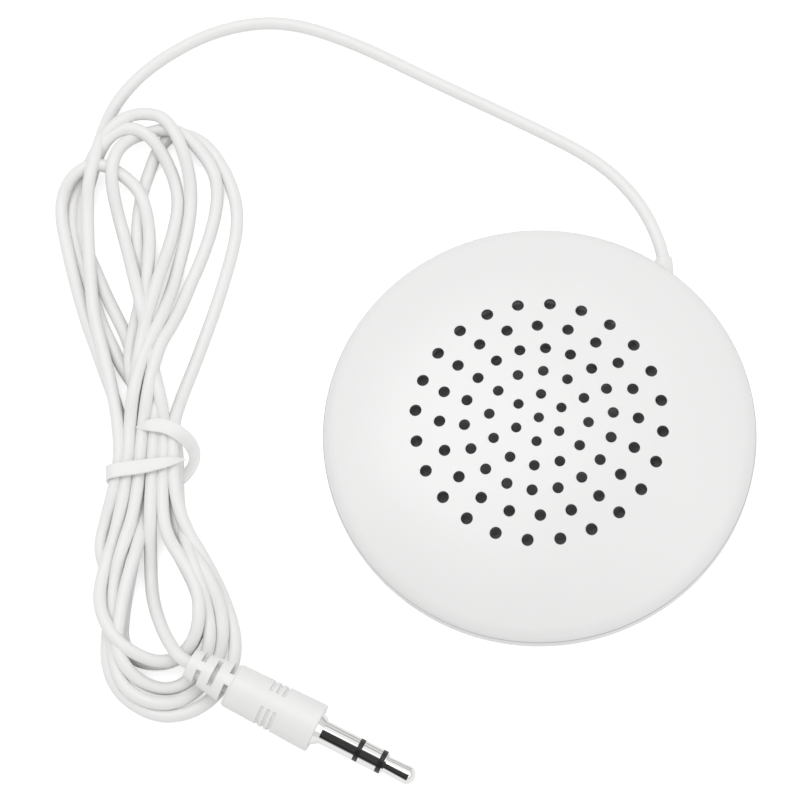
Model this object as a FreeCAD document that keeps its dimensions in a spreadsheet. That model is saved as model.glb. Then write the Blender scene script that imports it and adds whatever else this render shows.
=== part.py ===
import FreeCAD, Part
import math
import os
import Sketcher
from FreeCAD import Placement, Rotation, Vector

# Pillow speaker: a round two-part housing with a perforated dome over a small driver, and a thin
# cord that runs from the rim to a tied hank and a 3.5 mm plug. Millimetres. The origin is the
# centre of the flat back, +Z points out through the dome and +Y points to the cord's exit.

SIZES = [
    # Housing
    ("housing_radius", 31.8, "largest radius, at the widest line"),
    ("rear_depth", 5.8, "flat back to the widest line, also the radius of the rear edge"),
    ("front_depth", 8.4, "widest line to the crown"),
    ("seam_rise", 0.9, "widest line to the seam"),
    ("rim_radius", 3.2, "radius of the front rim in section"),
    ("crown_radius", 100.0, "radius of the shallow dome over the driver"),
    ("crown_edge", 19.0, "where the shallow dome meets the shoulder"),
    ("wall", 1.8, "wall of both shells"),
    ("grille_wall", 0.8, "wall of the dome round the sound holes"),
    ("seam_bevel", 0.18, "bevel on each side of the seam"),
    ("lip_height", 0.6, "height of the rear shell's lip inside the front rim"),
    ("lip_width", 0.65, "thickness of that lip"),
    ("lip_gap", 0.1, "clearance round the lip"),
    ("overrun", 1.0, "how far a cut runs past the surface"),
    # Sound holes
    ("hole_pitch", 3.6, "distance from ring to ring"),
    ("hole_radius", 0.75, "radius of the holes in the middle"),
    ("hole_growth", 0.031, "growth of the hole radius from ring to ring"),
    # Driver seat
    ("seat_depth", 4.3, "crown down to the driver's seat"),
    ("seat_root", 3.0, "crown down to the seat's root in the wall"),
    ("seat_inner", 18.95, "inner radius of the seat"),
    ("locator_width", 1.25, "thickness of the wall round the driver"),
    ("locator_drop", 1.3, "height of the wall below the seat"),
    ("driver_gap", 0.15, "clearance between the driver and that wall"),
    # Driver
    ("driver_radius", 20.0, "outer radius of the driver"),
    ("gasket_inner", 17.6, "inner radius of the gasket"),
    ("gasket_thickness", 0.5, "thickness of the gasket"),
    ("film", 0.15, "thickness of the diaphragm film"),
    ("land_inner", 17.3, "inner radius of the diaphragm's glued edge"),
    ("edge_inset", 0.2, "step of gasket and film inside the driver's edge"),
    ("roll_inner", 12.5, "inner radius of the surround"),
    ("roll_radius", 3.2, "radius of the surround in section"),
    ("roll_sink", 0.95, "glued edge down to the surround's inner edge"),
    ("neck_radius", 7.0, "radius where cone and dome meet the coil"),
    ("neck_sink", 1.65, "glued edge down to the neck"),
    ("dome_rise", 1.6, "height of the centre dome"),
    ("sheet", 0.5, "sheet thickness of the basket"),
    ("basket_depth", 4.15, "depth of the basket"),
    ("basket_throat", 16.9, "radius of the basket's mouth"),
    ("basket_floor", 12.4, "radius of the basket's floor"),
    ("vent_count", 6, "vents in the basket"),
    ("vent_radius", 1.5, "radius of a vent"),
    ("yoke_radius", 8.2, "outer radius of the yoke"),
    ("yoke_wall", 0.7, "wall of the yoke"),
    ("yoke_floor", 0.8, "floor of the yoke"),
    ("yoke_rise", 0.5, "yoke's rim above the basket's floor"),
    ("magnet_radius", 6.0, "radius of the magnet"),
    ("magnet_height", 1.5, "height of the magnet"),
    ("pole_radius", 6.3, "radius of the pole plate"),
    ("pole_height", 0.9, "height of the pole plate"),
    ("coil_inner", 6.55, "inner radius of the voice coil"),
    ("coil_wall", 0.4, "thickness of the voice coil"),
    ("coil_height", 2.7, "height of the voice coil"),
    ("board_length", 8.0, "length of the terminal board"),
    ("board_width", 2.1, "width of the terminal board"),
    ("board_thickness", 0.8, "thickness of the terminal board"),
    ("board_inner", 17.3, "driver's axis to the board's inner edge"),
    ("terminal_offset", 2.2, "board's middle to each terminal"),
    ("solder_base", 0.85, "radius of a solder joint at the board"),
    ("solder_top", 0.45, "radius of a solder joint at the wire"),
    ("solder_height", 0.7, "height of a solder joint"),
    # Screws and posts
    ("screw_count", 3, "case screws"),
    ("screw_share", 0.36, "screws' place between the driver's wall and the housing's, as a share"),
    ("screw_angle", 30.0, "angle of the first screw from +X"),
    ("screw_radius", 0.95, "radius of the screw's shank"),
    ("screw_length", 6.0, "length under the head"),
    ("head_radius", 1.75, "radius of the screw's head"),
    ("head_height", 1.1, "height of the screw's head"),
    ("drive_width", 0.4, "width of the cross recess"),
    ("drive_length", 2.0, "length of the cross recess"),
    ("drive_depth", 0.6, "depth of the cross recess"),
    ("screw_gap", 0.15, "clearance of the screw in the rear shell"),
    ("pilot_gap", 0.02, "clearance of the screw in its pilot hole"),
    ("pilot_spare", 0.5, "depth of the pilot hole past the screw"),
    ("recess_depth", 1.4, "back to the seat of the screw's head"),
    ("boss_radius", 2.6, "radius of the rear shell's screw boss"),
    ("boss_top", 4.6, "height of the rear shell's screw boss"),
    ("post_radius", 2.0, "radius of the front shell's screw post"),
    ("prop_count", 4, "props under the driver"),
    ("prop_radius", 1.0, "radius of a prop"),
    # Cord and its exit
    ("cord_radius", 0.95, "radius of the cord"),
    ("exit_height", 4.3, "height of the cord's exit"),
    ("exit_boss_radius", 2.3, "radius of the small boss round the exit"),
    ("exit_boss_length", 2.6, "length of that boss, in from the largest radius"),
    ("bore_gap", 0.03, "clearance round the cord"),
    ("neck_wall", 0.55, "wall of the grommet's neck"),
    ("neck_gap", 0.05, "clearance of the neck in the shell"),
    ("flange_radius", 2.1, "radius of the grommet's inner flange"),
    ("flange_width", 1.0, "thickness of the inner flange"),
    ("flange_inset", 5.2, "largest radius in to the inner face of that flange"),
    ("collar_root", 1.95, "radius of the collar at the shell"),
    ("collar_tip", 1.25, "radius of the collar at its end"),
    ("collar_bend", 2.6, "radius of the collar's bend"),
    ("collar_turn", 45.0, "angle that the collar turns to the side"),
    ("collar_end", 0.3, "straight end of the collar"),
    ("jacket_inset", 8.8, "largest radius in to the inner end of the cord's jacket"),
    ("guide_inset", 6.4, "largest radius in to the two posts that guide the cord"),
    ("guide_radius", 0.8, "radius of a guide post"),
    ("guide_top", 5.8, "top of a guide post"),
    ("lead_radius", 0.4, "radius of a lead wire"),
    ("lead_run", 1.4, "straight start of a lead wire"),
    ("lead_rise", 2.0, "straight end of a lead wire under its solder joint"),
    ("free_start", 3.2, "straight start of the free cord after the collar"),
    ("plug_tail_run", 3.0, "straight cord behind the strain relief"),
    # Plug, measured along its axis from the tail of the strain relief
    ("relief_length", 7.0, "length of the strain relief"),
    ("relief_tail", 2.2, "radius of the strain relief at the cord"),
    ("relief_root", 3.2, "radius of the strain relief at the grip"),
    ("relief_core", 1.6, "radius left inside the slots"),
    ("slot_width", 0.7, "width of a slot"),
    ("slot_pitch", 2.25, "distance from slot to slot"),
    ("slot_start", 1.55, "tail to the first slot"),
    ("side_sweep", 146.0, "angle of a slot at the side"),
    ("top_sweep", 96.0, "angle of a slot on top and below"),
    ("grip_length", 13.7, "length of the grip"),
    ("grip_rear", 3.35, "radius of the grip at the strain relief"),
    ("grip_front", 3.7, "radius of the grip at the contacts"),
    ("grip_round", 0.22, "rounding of the grip's edges"),
    ("groove_depth", 0.22, "depth of a grip groove"),
    ("groove_width", 0.45, "width of a grip groove"),
    ("groove_count", 3, "grip grooves on each side"),
    ("groove_pitch", 1.0, "distance from groove to groove"),
    ("groove_start", 12.3, "tail to the first groove"),
    ("groove_sweep", 136.0, "angle of a grip groove"),
    ("mould_radius", 2.4, "radius of the inner mould"),
    ("mould_start", 12.0, "tail to the inner mould"),
    ("shaft_radius", 1.75, "radius of the plug's shaft"),
    ("collar_radius", 2.5, "radius of the sleeve's collar at the grip"),
    ("collar_front", 2.0, "radius of that collar at its front"),
    ("collar_length", 0.9, "length of the sleeve's collar"),
    ("sleeve_length", 5.55, "length of the sleeve contact"),
    ("insulator_length", 0.75, "length of a black ring"),
    ("ring_length", 2.85, "length of the ring contact"),
    ("tip_land", 0.3, "length of the tip's flange at the black ring"),
    ("tip_flange", 1.52, "radius of that flange"),
    ("tip_neck", 1.2, "radius of the tip behind its taper"),
    ("tip_swell", 1.4, "radius of the tip at its nose"),
    ("tip_body", 4.05, "length of the tip up to its nose"),
    ("tip_nose", 0.95, "length of the rounded nose"),
    ("rod_radius", 0.5, "radius of the rod behind the tip"),
    ("tube_wall", 0.25, "wall of each tube inside the shaft"),
    ("tail_length", 3.0, "length of the sleeve inside the mould"),
    ("tail_step", 1.0, "length by which each inner tube is longer"),
    # Plug's place
    ("plug_x", -1.0, "plug shoulder, X"),
    ("plug_y", -54.1, "plug shoulder, Y"),
    ("plug_z", 3.76, "plug shoulder, height of the axis"),
    ("plug_heading", 8.9, "heading of the plug from +X"),
    ("plug_dip", 6.0, "angle that the plug dips towards its tip"),
    # Hank's place
    ("hank_x", -79.25, "top of the hank, X"),
    ("hank_y", 9.1, "top of the hank, Y"),
    ("hank_heading", -51.3, "heading of the hank from +X"),
]

# Count of holes and whether the ring is turned by half its own spacing, from the middle outwards.
HOLE_RINGS = [(6, True), (12, False), (18, True), (20, False), (24, False)]

# Outline of the hank along its axis: distance, reach to one side and the other, and thickness.
HANK_SECTIONS = [
    (0.0, -2.6, 2.8, 2.0),
    (3.0, -5.2, 7.3, 2.8),
    (8.0, -10.6, 9.8, 3.6),
    (15.0, -14.2, 12.4, 4.2),
    (21.0, -14.5, 13.3, 4.5),
    (28.0, -12.9, 11.8, 4.8),
    (38.0, -10.1, 7.7, 5.3),
    (47.0, -8.2, 5.2, 5.6),
    (53.0, -7.9, 6.0, 6.0),
    (59.0, -8.3, 4.6, 5.6),
    (65.0, -9.5, 4.8, 5.2),
    (71.0, -10.4, 6.8, 4.6),
    (79.0, -10.6, 9.8, 4.2),
    (85.0, -10.2, 10.4, 3.3),
    (90.0, -8.7, 6.8, 2.6),
    (95.3, -3.4, 2.2, 2.0),
]

# Route of the cord from the collar to the hank, after its straight start.
LEAD_ROUTE = [
    (-10.1, 39.6, 3.8),
    (-18.9, 41.5, 2.6),
    (-31.6, 40.5, 1.25),
    (-46.3, 38.4, 0.97),
    (-60.9, 36.6, 1.0),
    (-72.1, 33.3, 1.0),
    (-79.6, 26.1, 0.97),
    (-83.9, 16.6, 0.98),
    (-84.9, 9.6, 1.1),
    (-84.1, 4.6, 1.6),
]

# The cord's stretches that lie on the hank: from the long lead, and to the plug.
HANK_ENTRY = [(-79.9, -6.0, 3.7), (-75.8, -12.0, 3.5)]
HANK_LEAVING = [(-30.0, -54.6, 4.6), (-35.6, -47.9, 3.4)]

DOC = FreeCAD.newDocument("PillowSpeaker")


class Size:
    """A length that carries its value and the sheet formula that gives it."""

    def __init__(self, value, formula):
        self.value = float(value)
        self.formula = formula

    @staticmethod
    def of(other):
        """The same size, or a plain number as a size."""
        if isinstance(other, Size):
            return other
        return Size(other, repr(round(float(other), 9)))

    def __add__(self, other):
        other = Size.of(other)
        return Size(self.value + other.value, f"({self.formula} + {other.formula})")

    def __radd__(self, other):
        return Size.of(other) + self

    def __sub__(self, other):
        other = Size.of(other)
        return Size(self.value - other.value, f"({self.formula} - {other.formula})")

    def __rsub__(self, other):
        return Size.of(other) - self

    def __mul__(self, other):
        other = Size.of(other)
        return Size(self.value * other.value, f"({self.formula} * {other.formula})")

    def __rmul__(self, other):
        return Size.of(other) * self

    def __truediv__(self, other):
        other = Size.of(other)
        return Size(self.value / other.value, f"({self.formula} / {other.formula})")

    def __neg__(self):
        return Size(-self.value, f"(-{self.formula})")

    def root(self):
        """The square root."""
        return Size(math.sqrt(self.value), f"sqrt({self.formula})")


class Dims:
    """The sheet of driving dimensions, read as sizes by name."""

    def __init__(self):
        sheet = DOC.addObject("Spreadsheet::Sheet", "Dims")
        for row, (name, value, meaning) in enumerate(SIZES, start=1):
            sheet.set(f"A{row}", name)
            sheet.set(f"B{row}", str(value))
            sheet.set(f"C{row}", meaning)
            sheet.setAlias(f"B{row}", name)
        DOC.recompute()
        for name, value, meaning in SIZES:
            setattr(self, name, Size(sheet.get(name), f"Dims.{name}"))


D = Dims()


class Bend:
    """An arc between two corners of an outline, bulging to the right of the way or to its left."""

    def __init__(self, radius, right=True):
        self.radius = Size.of(radius)
        self.right = right


# Levels and radii that several pieces share.
CROWN = D.rear_depth + D.front_depth
SEAM = D.rear_depth + D.seam_rise
CAVITY_RADIUS = D.housing_radius - D.wall
SEAT = CROWN - D.seat_depth
FILM_TOP = SEAT - D.gasket_thickness
FLANGE_TOP = FILM_TOP - D.film
FLANGE_BOTTOM = FLANGE_TOP - D.sheet
BASKET_BOTTOM = FLANGE_TOP - D.basket_depth
YOKE_TOP = BASKET_BOTTOM + D.sheet + D.yoke_rise
YOKE_BOTTOM = YOKE_TOP - D.pole_height - D.magnet_height - D.yoke_floor
COIL_TOP = FLANGE_TOP - D.neck_sink
LOCATOR_INNER = D.driver_radius + D.driver_gap
LOCATOR_OUTER = LOCATOR_INNER + D.locator_width
SCREW_CIRCLE = LOCATOR_OUTER + (CAVITY_RADIUS - LOCATOR_OUTER) * D.screw_share
PROP_CIRCLE = D.driver_radius - D.edge_inset - D.prop_radius
EXIT_FACE = D.housing_radius
FLANGE_PLACE = EXIT_FACE - D.flange_inset
GUIDE_PLACE = EXIT_FACE - D.guide_inset
JACKET_END = EXIT_FACE - D.jacket_inset
BOARD_BOTTOM = FLANGE_BOTTOM - D.board_thickness
BOARD_MIDDLE = D.board_inner + D.board_width / 2
SHOULDER = D.relief_length + D.grip_length
NECK_RADIUS = D.cord_radius + D.bore_gap + D.neck_wall
RIM_CENTRE = D.housing_radius - D.rim_radius
RIM_EDGE = RIM_CENTRE + (D.rim_radius * D.rim_radius - D.seam_rise * D.seam_rise).root()


def new_body(label):
    """An empty body with its own label."""
    body = DOC.addObject("PartDesign::Body", "Body_" + label)
    body.Label = label
    return body


def origin_feature(body, role):
    """A plane or axis of the body's own origin."""
    for feature in body.Origin.OriginFeatures:
        if feature.Role == role:
            return feature
    raise ValueError(f"{body.Label} has no {role}")


def new_sketch(body, name, plane="XZ_Plane", height=None):
    """A sketch on one of the body's origin planes, lifted along the plane's normal."""
    sketch = body.newObject("Sketcher::SketchObject", name)
    sketch.AttachmentSupport = (origin_feature(body, plane), [""])
    sketch.MapMode = "FlatFace"
    if height is not None:
        height = Size.of(height)
        sketch.AttachmentOffset = Placement(Vector(0, 0, height.value), Rotation())
        sketch.setExpression("AttachmentOffset.Base.z", height.formula)
    return sketch


def drive(sketch, kind, geometry, position, size):
    """Fix a point's X or Y, or a circle's radius, to a size of the sheet."""
    size = Size.of(size)
    if kind == "Radius":
        index = sketch.addConstraint(Sketcher.Constraint(kind, geometry, size.value))
    elif abs(size.value) < 1e-9:
        axis = -2 if kind == "DistanceX" else -1
        sketch.addConstraint(Sketcher.Constraint("PointOnObject", geometry, position, axis))
        return
    else:
        index = sketch.addConstraint(
            Sketcher.Constraint(kind, -1, 1, geometry, position, size.value))
    sketch.setExpression(f"Constraints[{index}]", size.formula)


def arc_between(start, end, bend):
    """The shorter arc from start to end, and whether its own sense is the way's sense."""
    chord = end - start
    half = chord.Length / 2
    rise = math.sqrt(max(bend.radius.value ** 2 - half ** 2, 0.0))
    normal = Vector(-chord.y, chord.x, 0).normalize()
    side = 1 if bend.right else -1
    centre = (start + end) / 2 + normal * rise * side
    first = start if bend.right else end
    last = end if bend.right else start
    from_angle = math.atan2(first.y - centre.y, first.x - centre.x)
    to_angle = math.atan2(last.y - centre.y, last.x - centre.x)
    circle = Part.Circle(centre, Vector(0, 0, 1), bend.radius.value)
    return Part.ArcOfCircle(circle, from_angle, to_angle)


def draw_outline(sketch, items):
    """A closed outline through corners (x, y); a Bend between two corners makes that side an arc."""
    corners = [item for item in items if not isinstance(item, Bend)]
    bends = []
    for item in items:
        if isinstance(item, Bend):
            bends[-1] = item
        else:
            bends.append(None)
    points = [Vector(Size.of(x).value, Size.of(y).value, 0) for x, y in corners]
    first = sketch.GeometryCount
    ends = []
    for index, bend in enumerate(bends):
        start = points[index]
        end = points[(index + 1) % len(points)]
        if bend is None:
            geometry = Part.LineSegment(start, end)
        else:
            geometry = arc_between(start, end, bend)
        number = sketch.addGeometry(geometry, False)
        ends.append((1, 2) if bend is None or bend.right else (2, 1))
        if bend is not None:
            drive(sketch, "Radius", number, 0, bend.radius)
    for index, (x, y) in enumerate(corners):
        before = index - 1 if index else len(corners) - 1
        sketch.addConstraint(Sketcher.Constraint(
            "Coincident", first + before, ends[before][1], first + index, ends[index][0]))
        drive(sketch, "DistanceX", first + index, ends[index][0], x)
        drive(sketch, "DistanceY", first + index, ends[index][0], y)


def draw_rectangle(sketch, left, bottom, right, top):
    """A closed rectangle."""
    draw_outline(sketch, [(left, bottom), (right, bottom), (right, top), (left, top)])


def draw_circle(sketch, x, y, radius):
    """A circle with its centre and radius fixed."""
    centre = Vector(Size.of(x).value, Size.of(y).value, 0)
    circle = Part.Circle(centre, Vector(0, 0, 1), Size.of(radius).value)
    number = sketch.addGeometry(circle, False)
    drive(sketch, "DistanceX", number, 3, x)
    drive(sketch, "DistanceY", number, 3, y)
    drive(sketch, "Radius", number, 0, radius)


def revolve(body, sketch, cut=False, sweep=None):
    """Turn a sketch about its vertical axis, as new material or as a cut."""
    kind = "PartDesign::Groove" if cut else "PartDesign::Revolution"
    feature = body.newObject(kind, sketch.Name + "_turn")
    feature.Profile = sketch
    feature.ReferenceAxis = (sketch, ["V_Axis"])
    feature.Angle = 360
    if sweep is not None:
        feature.Midplane = True
        feature.Angle = sweep.value
        feature.setExpression("Angle", sweep.formula)
    sketch.Visibility = False
    return feature


def extrude(body, sketch, length, cut=False, reverse=False):
    """Pad or pocket a sketch by a length."""
    kind = "PartDesign::Pocket" if cut else "PartDesign::Pad"
    feature = body.newObject(kind, sketch.Name + "_depth")
    feature.Profile = sketch
    feature.Length = Size.of(length).value
    feature.setExpression("Length", Size.of(length).formula)
    feature.Reversed = reverse
    sketch.Visibility = False
    return feature


def extrude_to_wall(body, sketch):
    """Pad a sketch up to the first face that it meets."""
    feature = body.newObject("PartDesign::Pad", sketch.Name + "_reach")
    feature.Profile = sketch
    feature.Type = "UpToFirst"
    sketch.Visibility = False
    return feature


def repeat_round(body, feature, count):
    """Repeat a feature evenly about the body's Z axis."""
    pattern = body.newObject("PartDesign::PolarPattern", feature.Name + "_ring")
    pattern.Originals = [feature]
    pattern.Axis = (origin_feature(body, "Z_Axis"), [""])
    pattern.Angle = 360
    pattern.Occurrences = int(Size.of(count).value)
    if isinstance(count, Size):
        pattern.setExpression("Occurrences", count.formula)
    body.Tip = pattern
    return pattern


def turned(label, items):
    """A body made by turning one outline about Z."""
    body = new_body(label)
    sketch = new_sketch(body, "Section_" + label)
    draw_outline(sketch, items)
    revolve(body, sketch)
    return body


def polar_x(radius, degrees):
    """X of a point at a radius and an angle from +X."""
    return radius * math.cos(math.radians(degrees))


def polar_y(radius, degrees):
    """Y of a point at a radius and an angle from +X."""
    return radius * math.sin(math.radians(degrees))


def shoulder_radius(inset):
    """Radius of the arc that is tangent to the crown's arc and to the rim's arc."""
    crown = D.crown_radius.value - inset
    rim = D.rim_radius.value - inset
    slope = D.crown_edge.value / D.crown_radius.value
    lean = math.sqrt(1 - slope ** 2)
    edge = Vector(crown * slope, CROWN.value - D.crown_radius.value + crown * lean, 0)
    rim_centre = Vector(RIM_CENTRE.value, D.rear_depth.value, 0)
    offset = edge - rim_centre
    reach = offset.x * slope + offset.y * lean
    radius = (offset.Length ** 2 - rim ** 2) / (2 * (reach - rim))
    return edge, Vector(slope, lean, 0), rim_centre, radius


def draw_dome(sketch, inset, low):
    """Half section of the dome above a level: rim, shoulder and crown as three tangent arcs."""
    inset = Size.of(inset)
    edge, slope, rim_centre, shoulder = shoulder_radius(inset.value)
    crown = D.crown_radius - inset
    rim = D.rim_radius - inset
    top = CROWN - inset
    centre = edge - slope * shoulder
    turn = math.atan2(rim_centre.y - centre.y, rim_centre.x - centre.x)
    crown_turn = math.atan2(slope.y, slope.x)
    level = Size.of(low).value
    low_turn = math.asin((level - rim_centre.y) / rim.value)
    rim_start = rim_centre + Vector(math.cos(low_turn), math.sin(low_turn), 0) * rim.value
    up = Vector(0, 0, 1)
    crown_centre = Vector(0, CROWN.value - D.crown_radius.value, 0)
    floor_line = sketch.addGeometry(Part.LineSegment(Vector(0, level, 0), rim_start), False)
    rim_arc = sketch.addGeometry(
        Part.ArcOfCircle(Part.Circle(rim_centre, up, rim.value), low_turn, turn), False)
    shoulder_arc = sketch.addGeometry(
        Part.ArcOfCircle(Part.Circle(centre, up, shoulder), turn, crown_turn), False)
    crown_arc = sketch.addGeometry(
        Part.ArcOfCircle(Part.Circle(crown_centre, up, crown.value), crown_turn, math.pi / 2), False)
    axis_line = sketch.addGeometry(
        Part.LineSegment(Vector(0, top.value, 0), Vector(0, level, 0)), False)
    sketch.addConstraint([
        Sketcher.Constraint("Coincident", floor_line, 2, rim_arc, 1),
        Sketcher.Constraint("Tangent", rim_arc, 2, shoulder_arc, 1),
        Sketcher.Constraint("Tangent", shoulder_arc, 2, crown_arc, 1),
        Sketcher.Constraint("Coincident", crown_arc, 2, axis_line, 1),
        Sketcher.Constraint("Coincident", axis_line, 2, floor_line, 1),
        Sketcher.Constraint("PointOnObject", floor_line, 1, -2),
        Sketcher.Constraint("Horizontal", floor_line),
        Sketcher.Constraint("PointOnObject", crown_arc, 2, -2),
        Sketcher.Constraint("PointOnObject", crown_arc, 3, -2),
    ])
    drive(sketch, "DistanceY", floor_line, 1, low)
    drive(sketch, "Radius", rim_arc, 0, rim)
    drive(sketch, "DistanceX", rim_arc, 3, RIM_CENTRE)
    drive(sketch, "DistanceY", rim_arc, 3, D.rear_depth)
    drive(sketch, "Radius", crown_arc, 0, crown)
    drive(sketch, "DistanceY", crown_arc, 2, top)
    drive(sketch, "DistanceX", crown_arc, 1, D.crown_edge * crown / D.crown_radius)


def add_sound_holes(body):
    """The middle hole and the rings of holes round it."""
    sketch = new_sketch(body, "HoleMiddle", "XY_Plane")
    draw_circle(sketch, 0, 0, D.hole_radius)
    extrude(body, sketch, CROWN + D.overrun, cut=True, reverse=True)
    for ring, (count, half_turn) in enumerate(HOLE_RINGS, start=1):
        angle = 90 + (180 / count if half_turn else 0)
        radius = D.hole_pitch * ring
        sketch = new_sketch(body, f"HoleRing{ring}", "XY_Plane")
        draw_circle(sketch, polar_x(radius, angle), polar_y(radius, angle),
                    D.hole_radius + D.hole_growth * (ring - 1))
        repeat_round(body, extrude(body, sketch, CROWN + D.overrun, cut=True, reverse=True), count)


def front_shell():
    """Perforated dome with the driver's seat and the screw posts."""
    body = new_body("front_shell")
    dome = new_sketch(body, "DomeOutside")
    draw_dome(dome, 0, SEAM)
    revolve(body, dome)
    cavity = new_sketch(body, "DomeInside")
    draw_dome(cavity, D.wall, SEAM)
    revolve(body, cavity, cut=True)
    rebate = new_sketch(body, "LipRebate")
    draw_rectangle(rebate, CAVITY_RADIUS - D.wall, SEAM,
                   CAVITY_RADIUS + D.lip_width + D.lip_gap, SEAM + D.lip_height + D.lip_gap)
    revolve(body, rebate, cut=True)
    bevel = new_sketch(body, "SeamBevel")
    draw_outline(bevel, [
        (RIM_EDGE - D.seam_bevel, SEAM),
        (RIM_EDGE + D.seam_bevel, SEAM),
        (RIM_EDGE + D.seam_bevel, SEAM + D.seam_bevel * 2),
    ])
    revolve(body, bevel, cut=True)
    grille = new_sketch(body, "GrilleInside")
    sphere = D.crown_radius - D.grille_wall
    drop = D.crown_radius - (sphere * sphere - D.seat_inner * D.seat_inner).root()
    draw_outline(grille, [
        (0, SEAT),
        (D.seat_inner, SEAT),
        (D.seat_inner, CROWN - drop),
        Bend(sphere),
        (0, CROWN - D.grille_wall),
    ])
    revolve(body, grille, cut=True)
    seat = new_sketch(body, "DriverSeat")
    draw_outline(seat, [
        (D.seat_inner, SEAT),
        (LOCATOR_INNER, SEAT),
        (LOCATOR_INNER, SEAT - D.locator_drop),
        (LOCATOR_OUTER, SEAT - D.locator_drop),
        (LOCATOR_OUTER, CROWN - D.seat_root),
        (D.seat_inner, CROWN - D.seat_root),
    ])
    revolve(body, seat)
    x = polar_x(SCREW_CIRCLE, D.screw_angle.value)
    y = polar_y(SCREW_CIRCLE, D.screw_angle.value)
    post = new_sketch(body, "ScrewPost", "XY_Plane", D.boss_top)
    draw_circle(post, x, y, D.post_radius)
    repeat_round(body, extrude_to_wall(body, post), D.screw_count)
    pilot = new_sketch(body, "PilotHole", "XY_Plane", D.boss_top)
    draw_circle(pilot, x, y, D.screw_radius + D.pilot_gap)
    depth = D.recess_depth + D.screw_length + D.pilot_spare - D.boss_top
    repeat_round(body, extrude(body, pilot, depth, cut=True, reverse=True), D.screw_count)
    add_sound_holes(body)
    return body


def rear_shell():
    """Shallow pan with a flat back, a lip at the seam, screw bosses, props and the cord's exit."""
    body = new_body("rear_shell")
    pan = new_sketch(body, "PanSection")
    inner = D.rear_depth - D.wall
    lip = CAVITY_RADIUS + D.lip_width
    draw_outline(pan, [
        (0, 0),
        (D.housing_radius - D.rear_depth, 0),
        Bend(D.rear_depth),
        (D.housing_radius, D.rear_depth),
        (D.housing_radius, SEAM - D.seam_bevel),
        (D.housing_radius - D.seam_bevel, SEAM),
        (lip, SEAM),
        (lip, SEAM + D.lip_height),
        (CAVITY_RADIUS, SEAM + D.lip_height),
        (CAVITY_RADIUS, D.rear_depth),
        Bend(inner, right=False),
        (CAVITY_RADIUS - inner, D.wall),
        (0, D.wall),
    ])
    revolve(body, pan)
    exit_boss = new_sketch(body, "ExitBoss", "XZ_Plane", -EXIT_FACE)
    draw_circle(exit_boss, 0, D.exit_height, D.exit_boss_radius)
    extrude(body, exit_boss, D.exit_boss_length)
    exit_hole = new_sketch(body, "ExitHole", "XZ_Plane", -EXIT_FACE - D.overrun)
    draw_circle(exit_hole, 0, D.exit_height, NECK_RADIUS + D.neck_gap)
    hole_depth = D.overrun + D.flange_inset - D.flange_width
    extrude(body, exit_hole, hole_depth, cut=True, reverse=True)
    x = polar_x(SCREW_CIRCLE, D.screw_angle.value)
    y = polar_y(SCREW_CIRCLE, D.screw_angle.value)
    boss = new_sketch(body, "ScrewBoss", "XY_Plane", D.wall)
    draw_circle(boss, x, y, D.boss_radius)
    repeat_round(body, extrude(body, boss, D.boss_top - D.wall), D.screw_count)
    recess = new_sketch(body, "ScrewRecess", "XY_Plane")
    draw_circle(recess, x, y, D.head_radius + D.screw_gap)
    repeat_round(body, extrude(body, recess, D.recess_depth, cut=True, reverse=True), D.screw_count)
    hole = new_sketch(body, "ScrewHole", "XY_Plane")
    draw_circle(hole, x, y, D.screw_radius + D.screw_gap)
    repeat_round(body, extrude(body, hole, D.boss_top + D.overrun, cut=True, reverse=True), D.screw_count)
    prop = new_sketch(body, "DriverProp", "XY_Plane", D.wall)
    quarter = 180 / D.prop_count.value
    draw_circle(prop, polar_x(PROP_CIRCLE, quarter), polar_y(PROP_CIRCLE, quarter), D.prop_radius)
    repeat_round(body, extrude(body, prop, FLANGE_BOTTOM - D.wall), D.prop_count)
    guide = new_sketch(body, "CordGuide", "XY_Plane", D.wall)
    side = D.cord_radius + D.bore_gap + D.guide_radius
    draw_circle(guide, side, GUIDE_PLACE, D.guide_radius)
    draw_circle(guide, -side, GUIDE_PLACE, D.guide_radius)
    extrude(body, guide, D.guide_top - D.wall)
    return body


def case_screws():
    """Three small screws with a cross recess, heads down."""
    body = new_body("case_screws")
    body.AllowCompound = True
    x = polar_x(SCREW_CIRCLE, D.screw_angle.value)
    y = polar_y(SCREW_CIRCLE, D.screw_angle.value)
    bottom = D.recess_depth - D.head_height
    head = new_sketch(body, "ScrewHead", "XY_Plane", bottom)
    draw_circle(head, x, y, D.head_radius)
    head_pad = extrude(body, head, D.head_height)
    shank = new_sketch(body, "ScrewShank", "XY_Plane", D.recess_depth)
    draw_circle(shank, x, y, D.screw_radius)
    shank_pad = extrude(body, shank, D.screw_length)
    slots = []
    for name, wide, tall in (("DriveAcross", D.drive_length, D.drive_width),
                             ("DriveAlong", D.drive_width, D.drive_length)):
        slot = new_sketch(body, name, "XY_Plane", bottom)
        draw_rectangle(slot, x - wide / 2, y - tall / 2, x + wide / 2, y + tall / 2)
        slots.append(extrude(body, slot, D.drive_depth, cut=True, reverse=True))
    pattern = repeat_round(body, head_pad, D.screw_count)
    pattern.Originals = [head_pad, shank_pad] + slots
    return body


def driver_gasket():
    """Flat ring between the seat and the diaphragm's edge."""
    outer = D.driver_radius - D.edge_inset
    return turned("driver_gasket", [(D.gasket_inner, FILM_TOP), (outer, FILM_TOP),
                                    (outer, SEAT), (D.gasket_inner, SEAT)])


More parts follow.
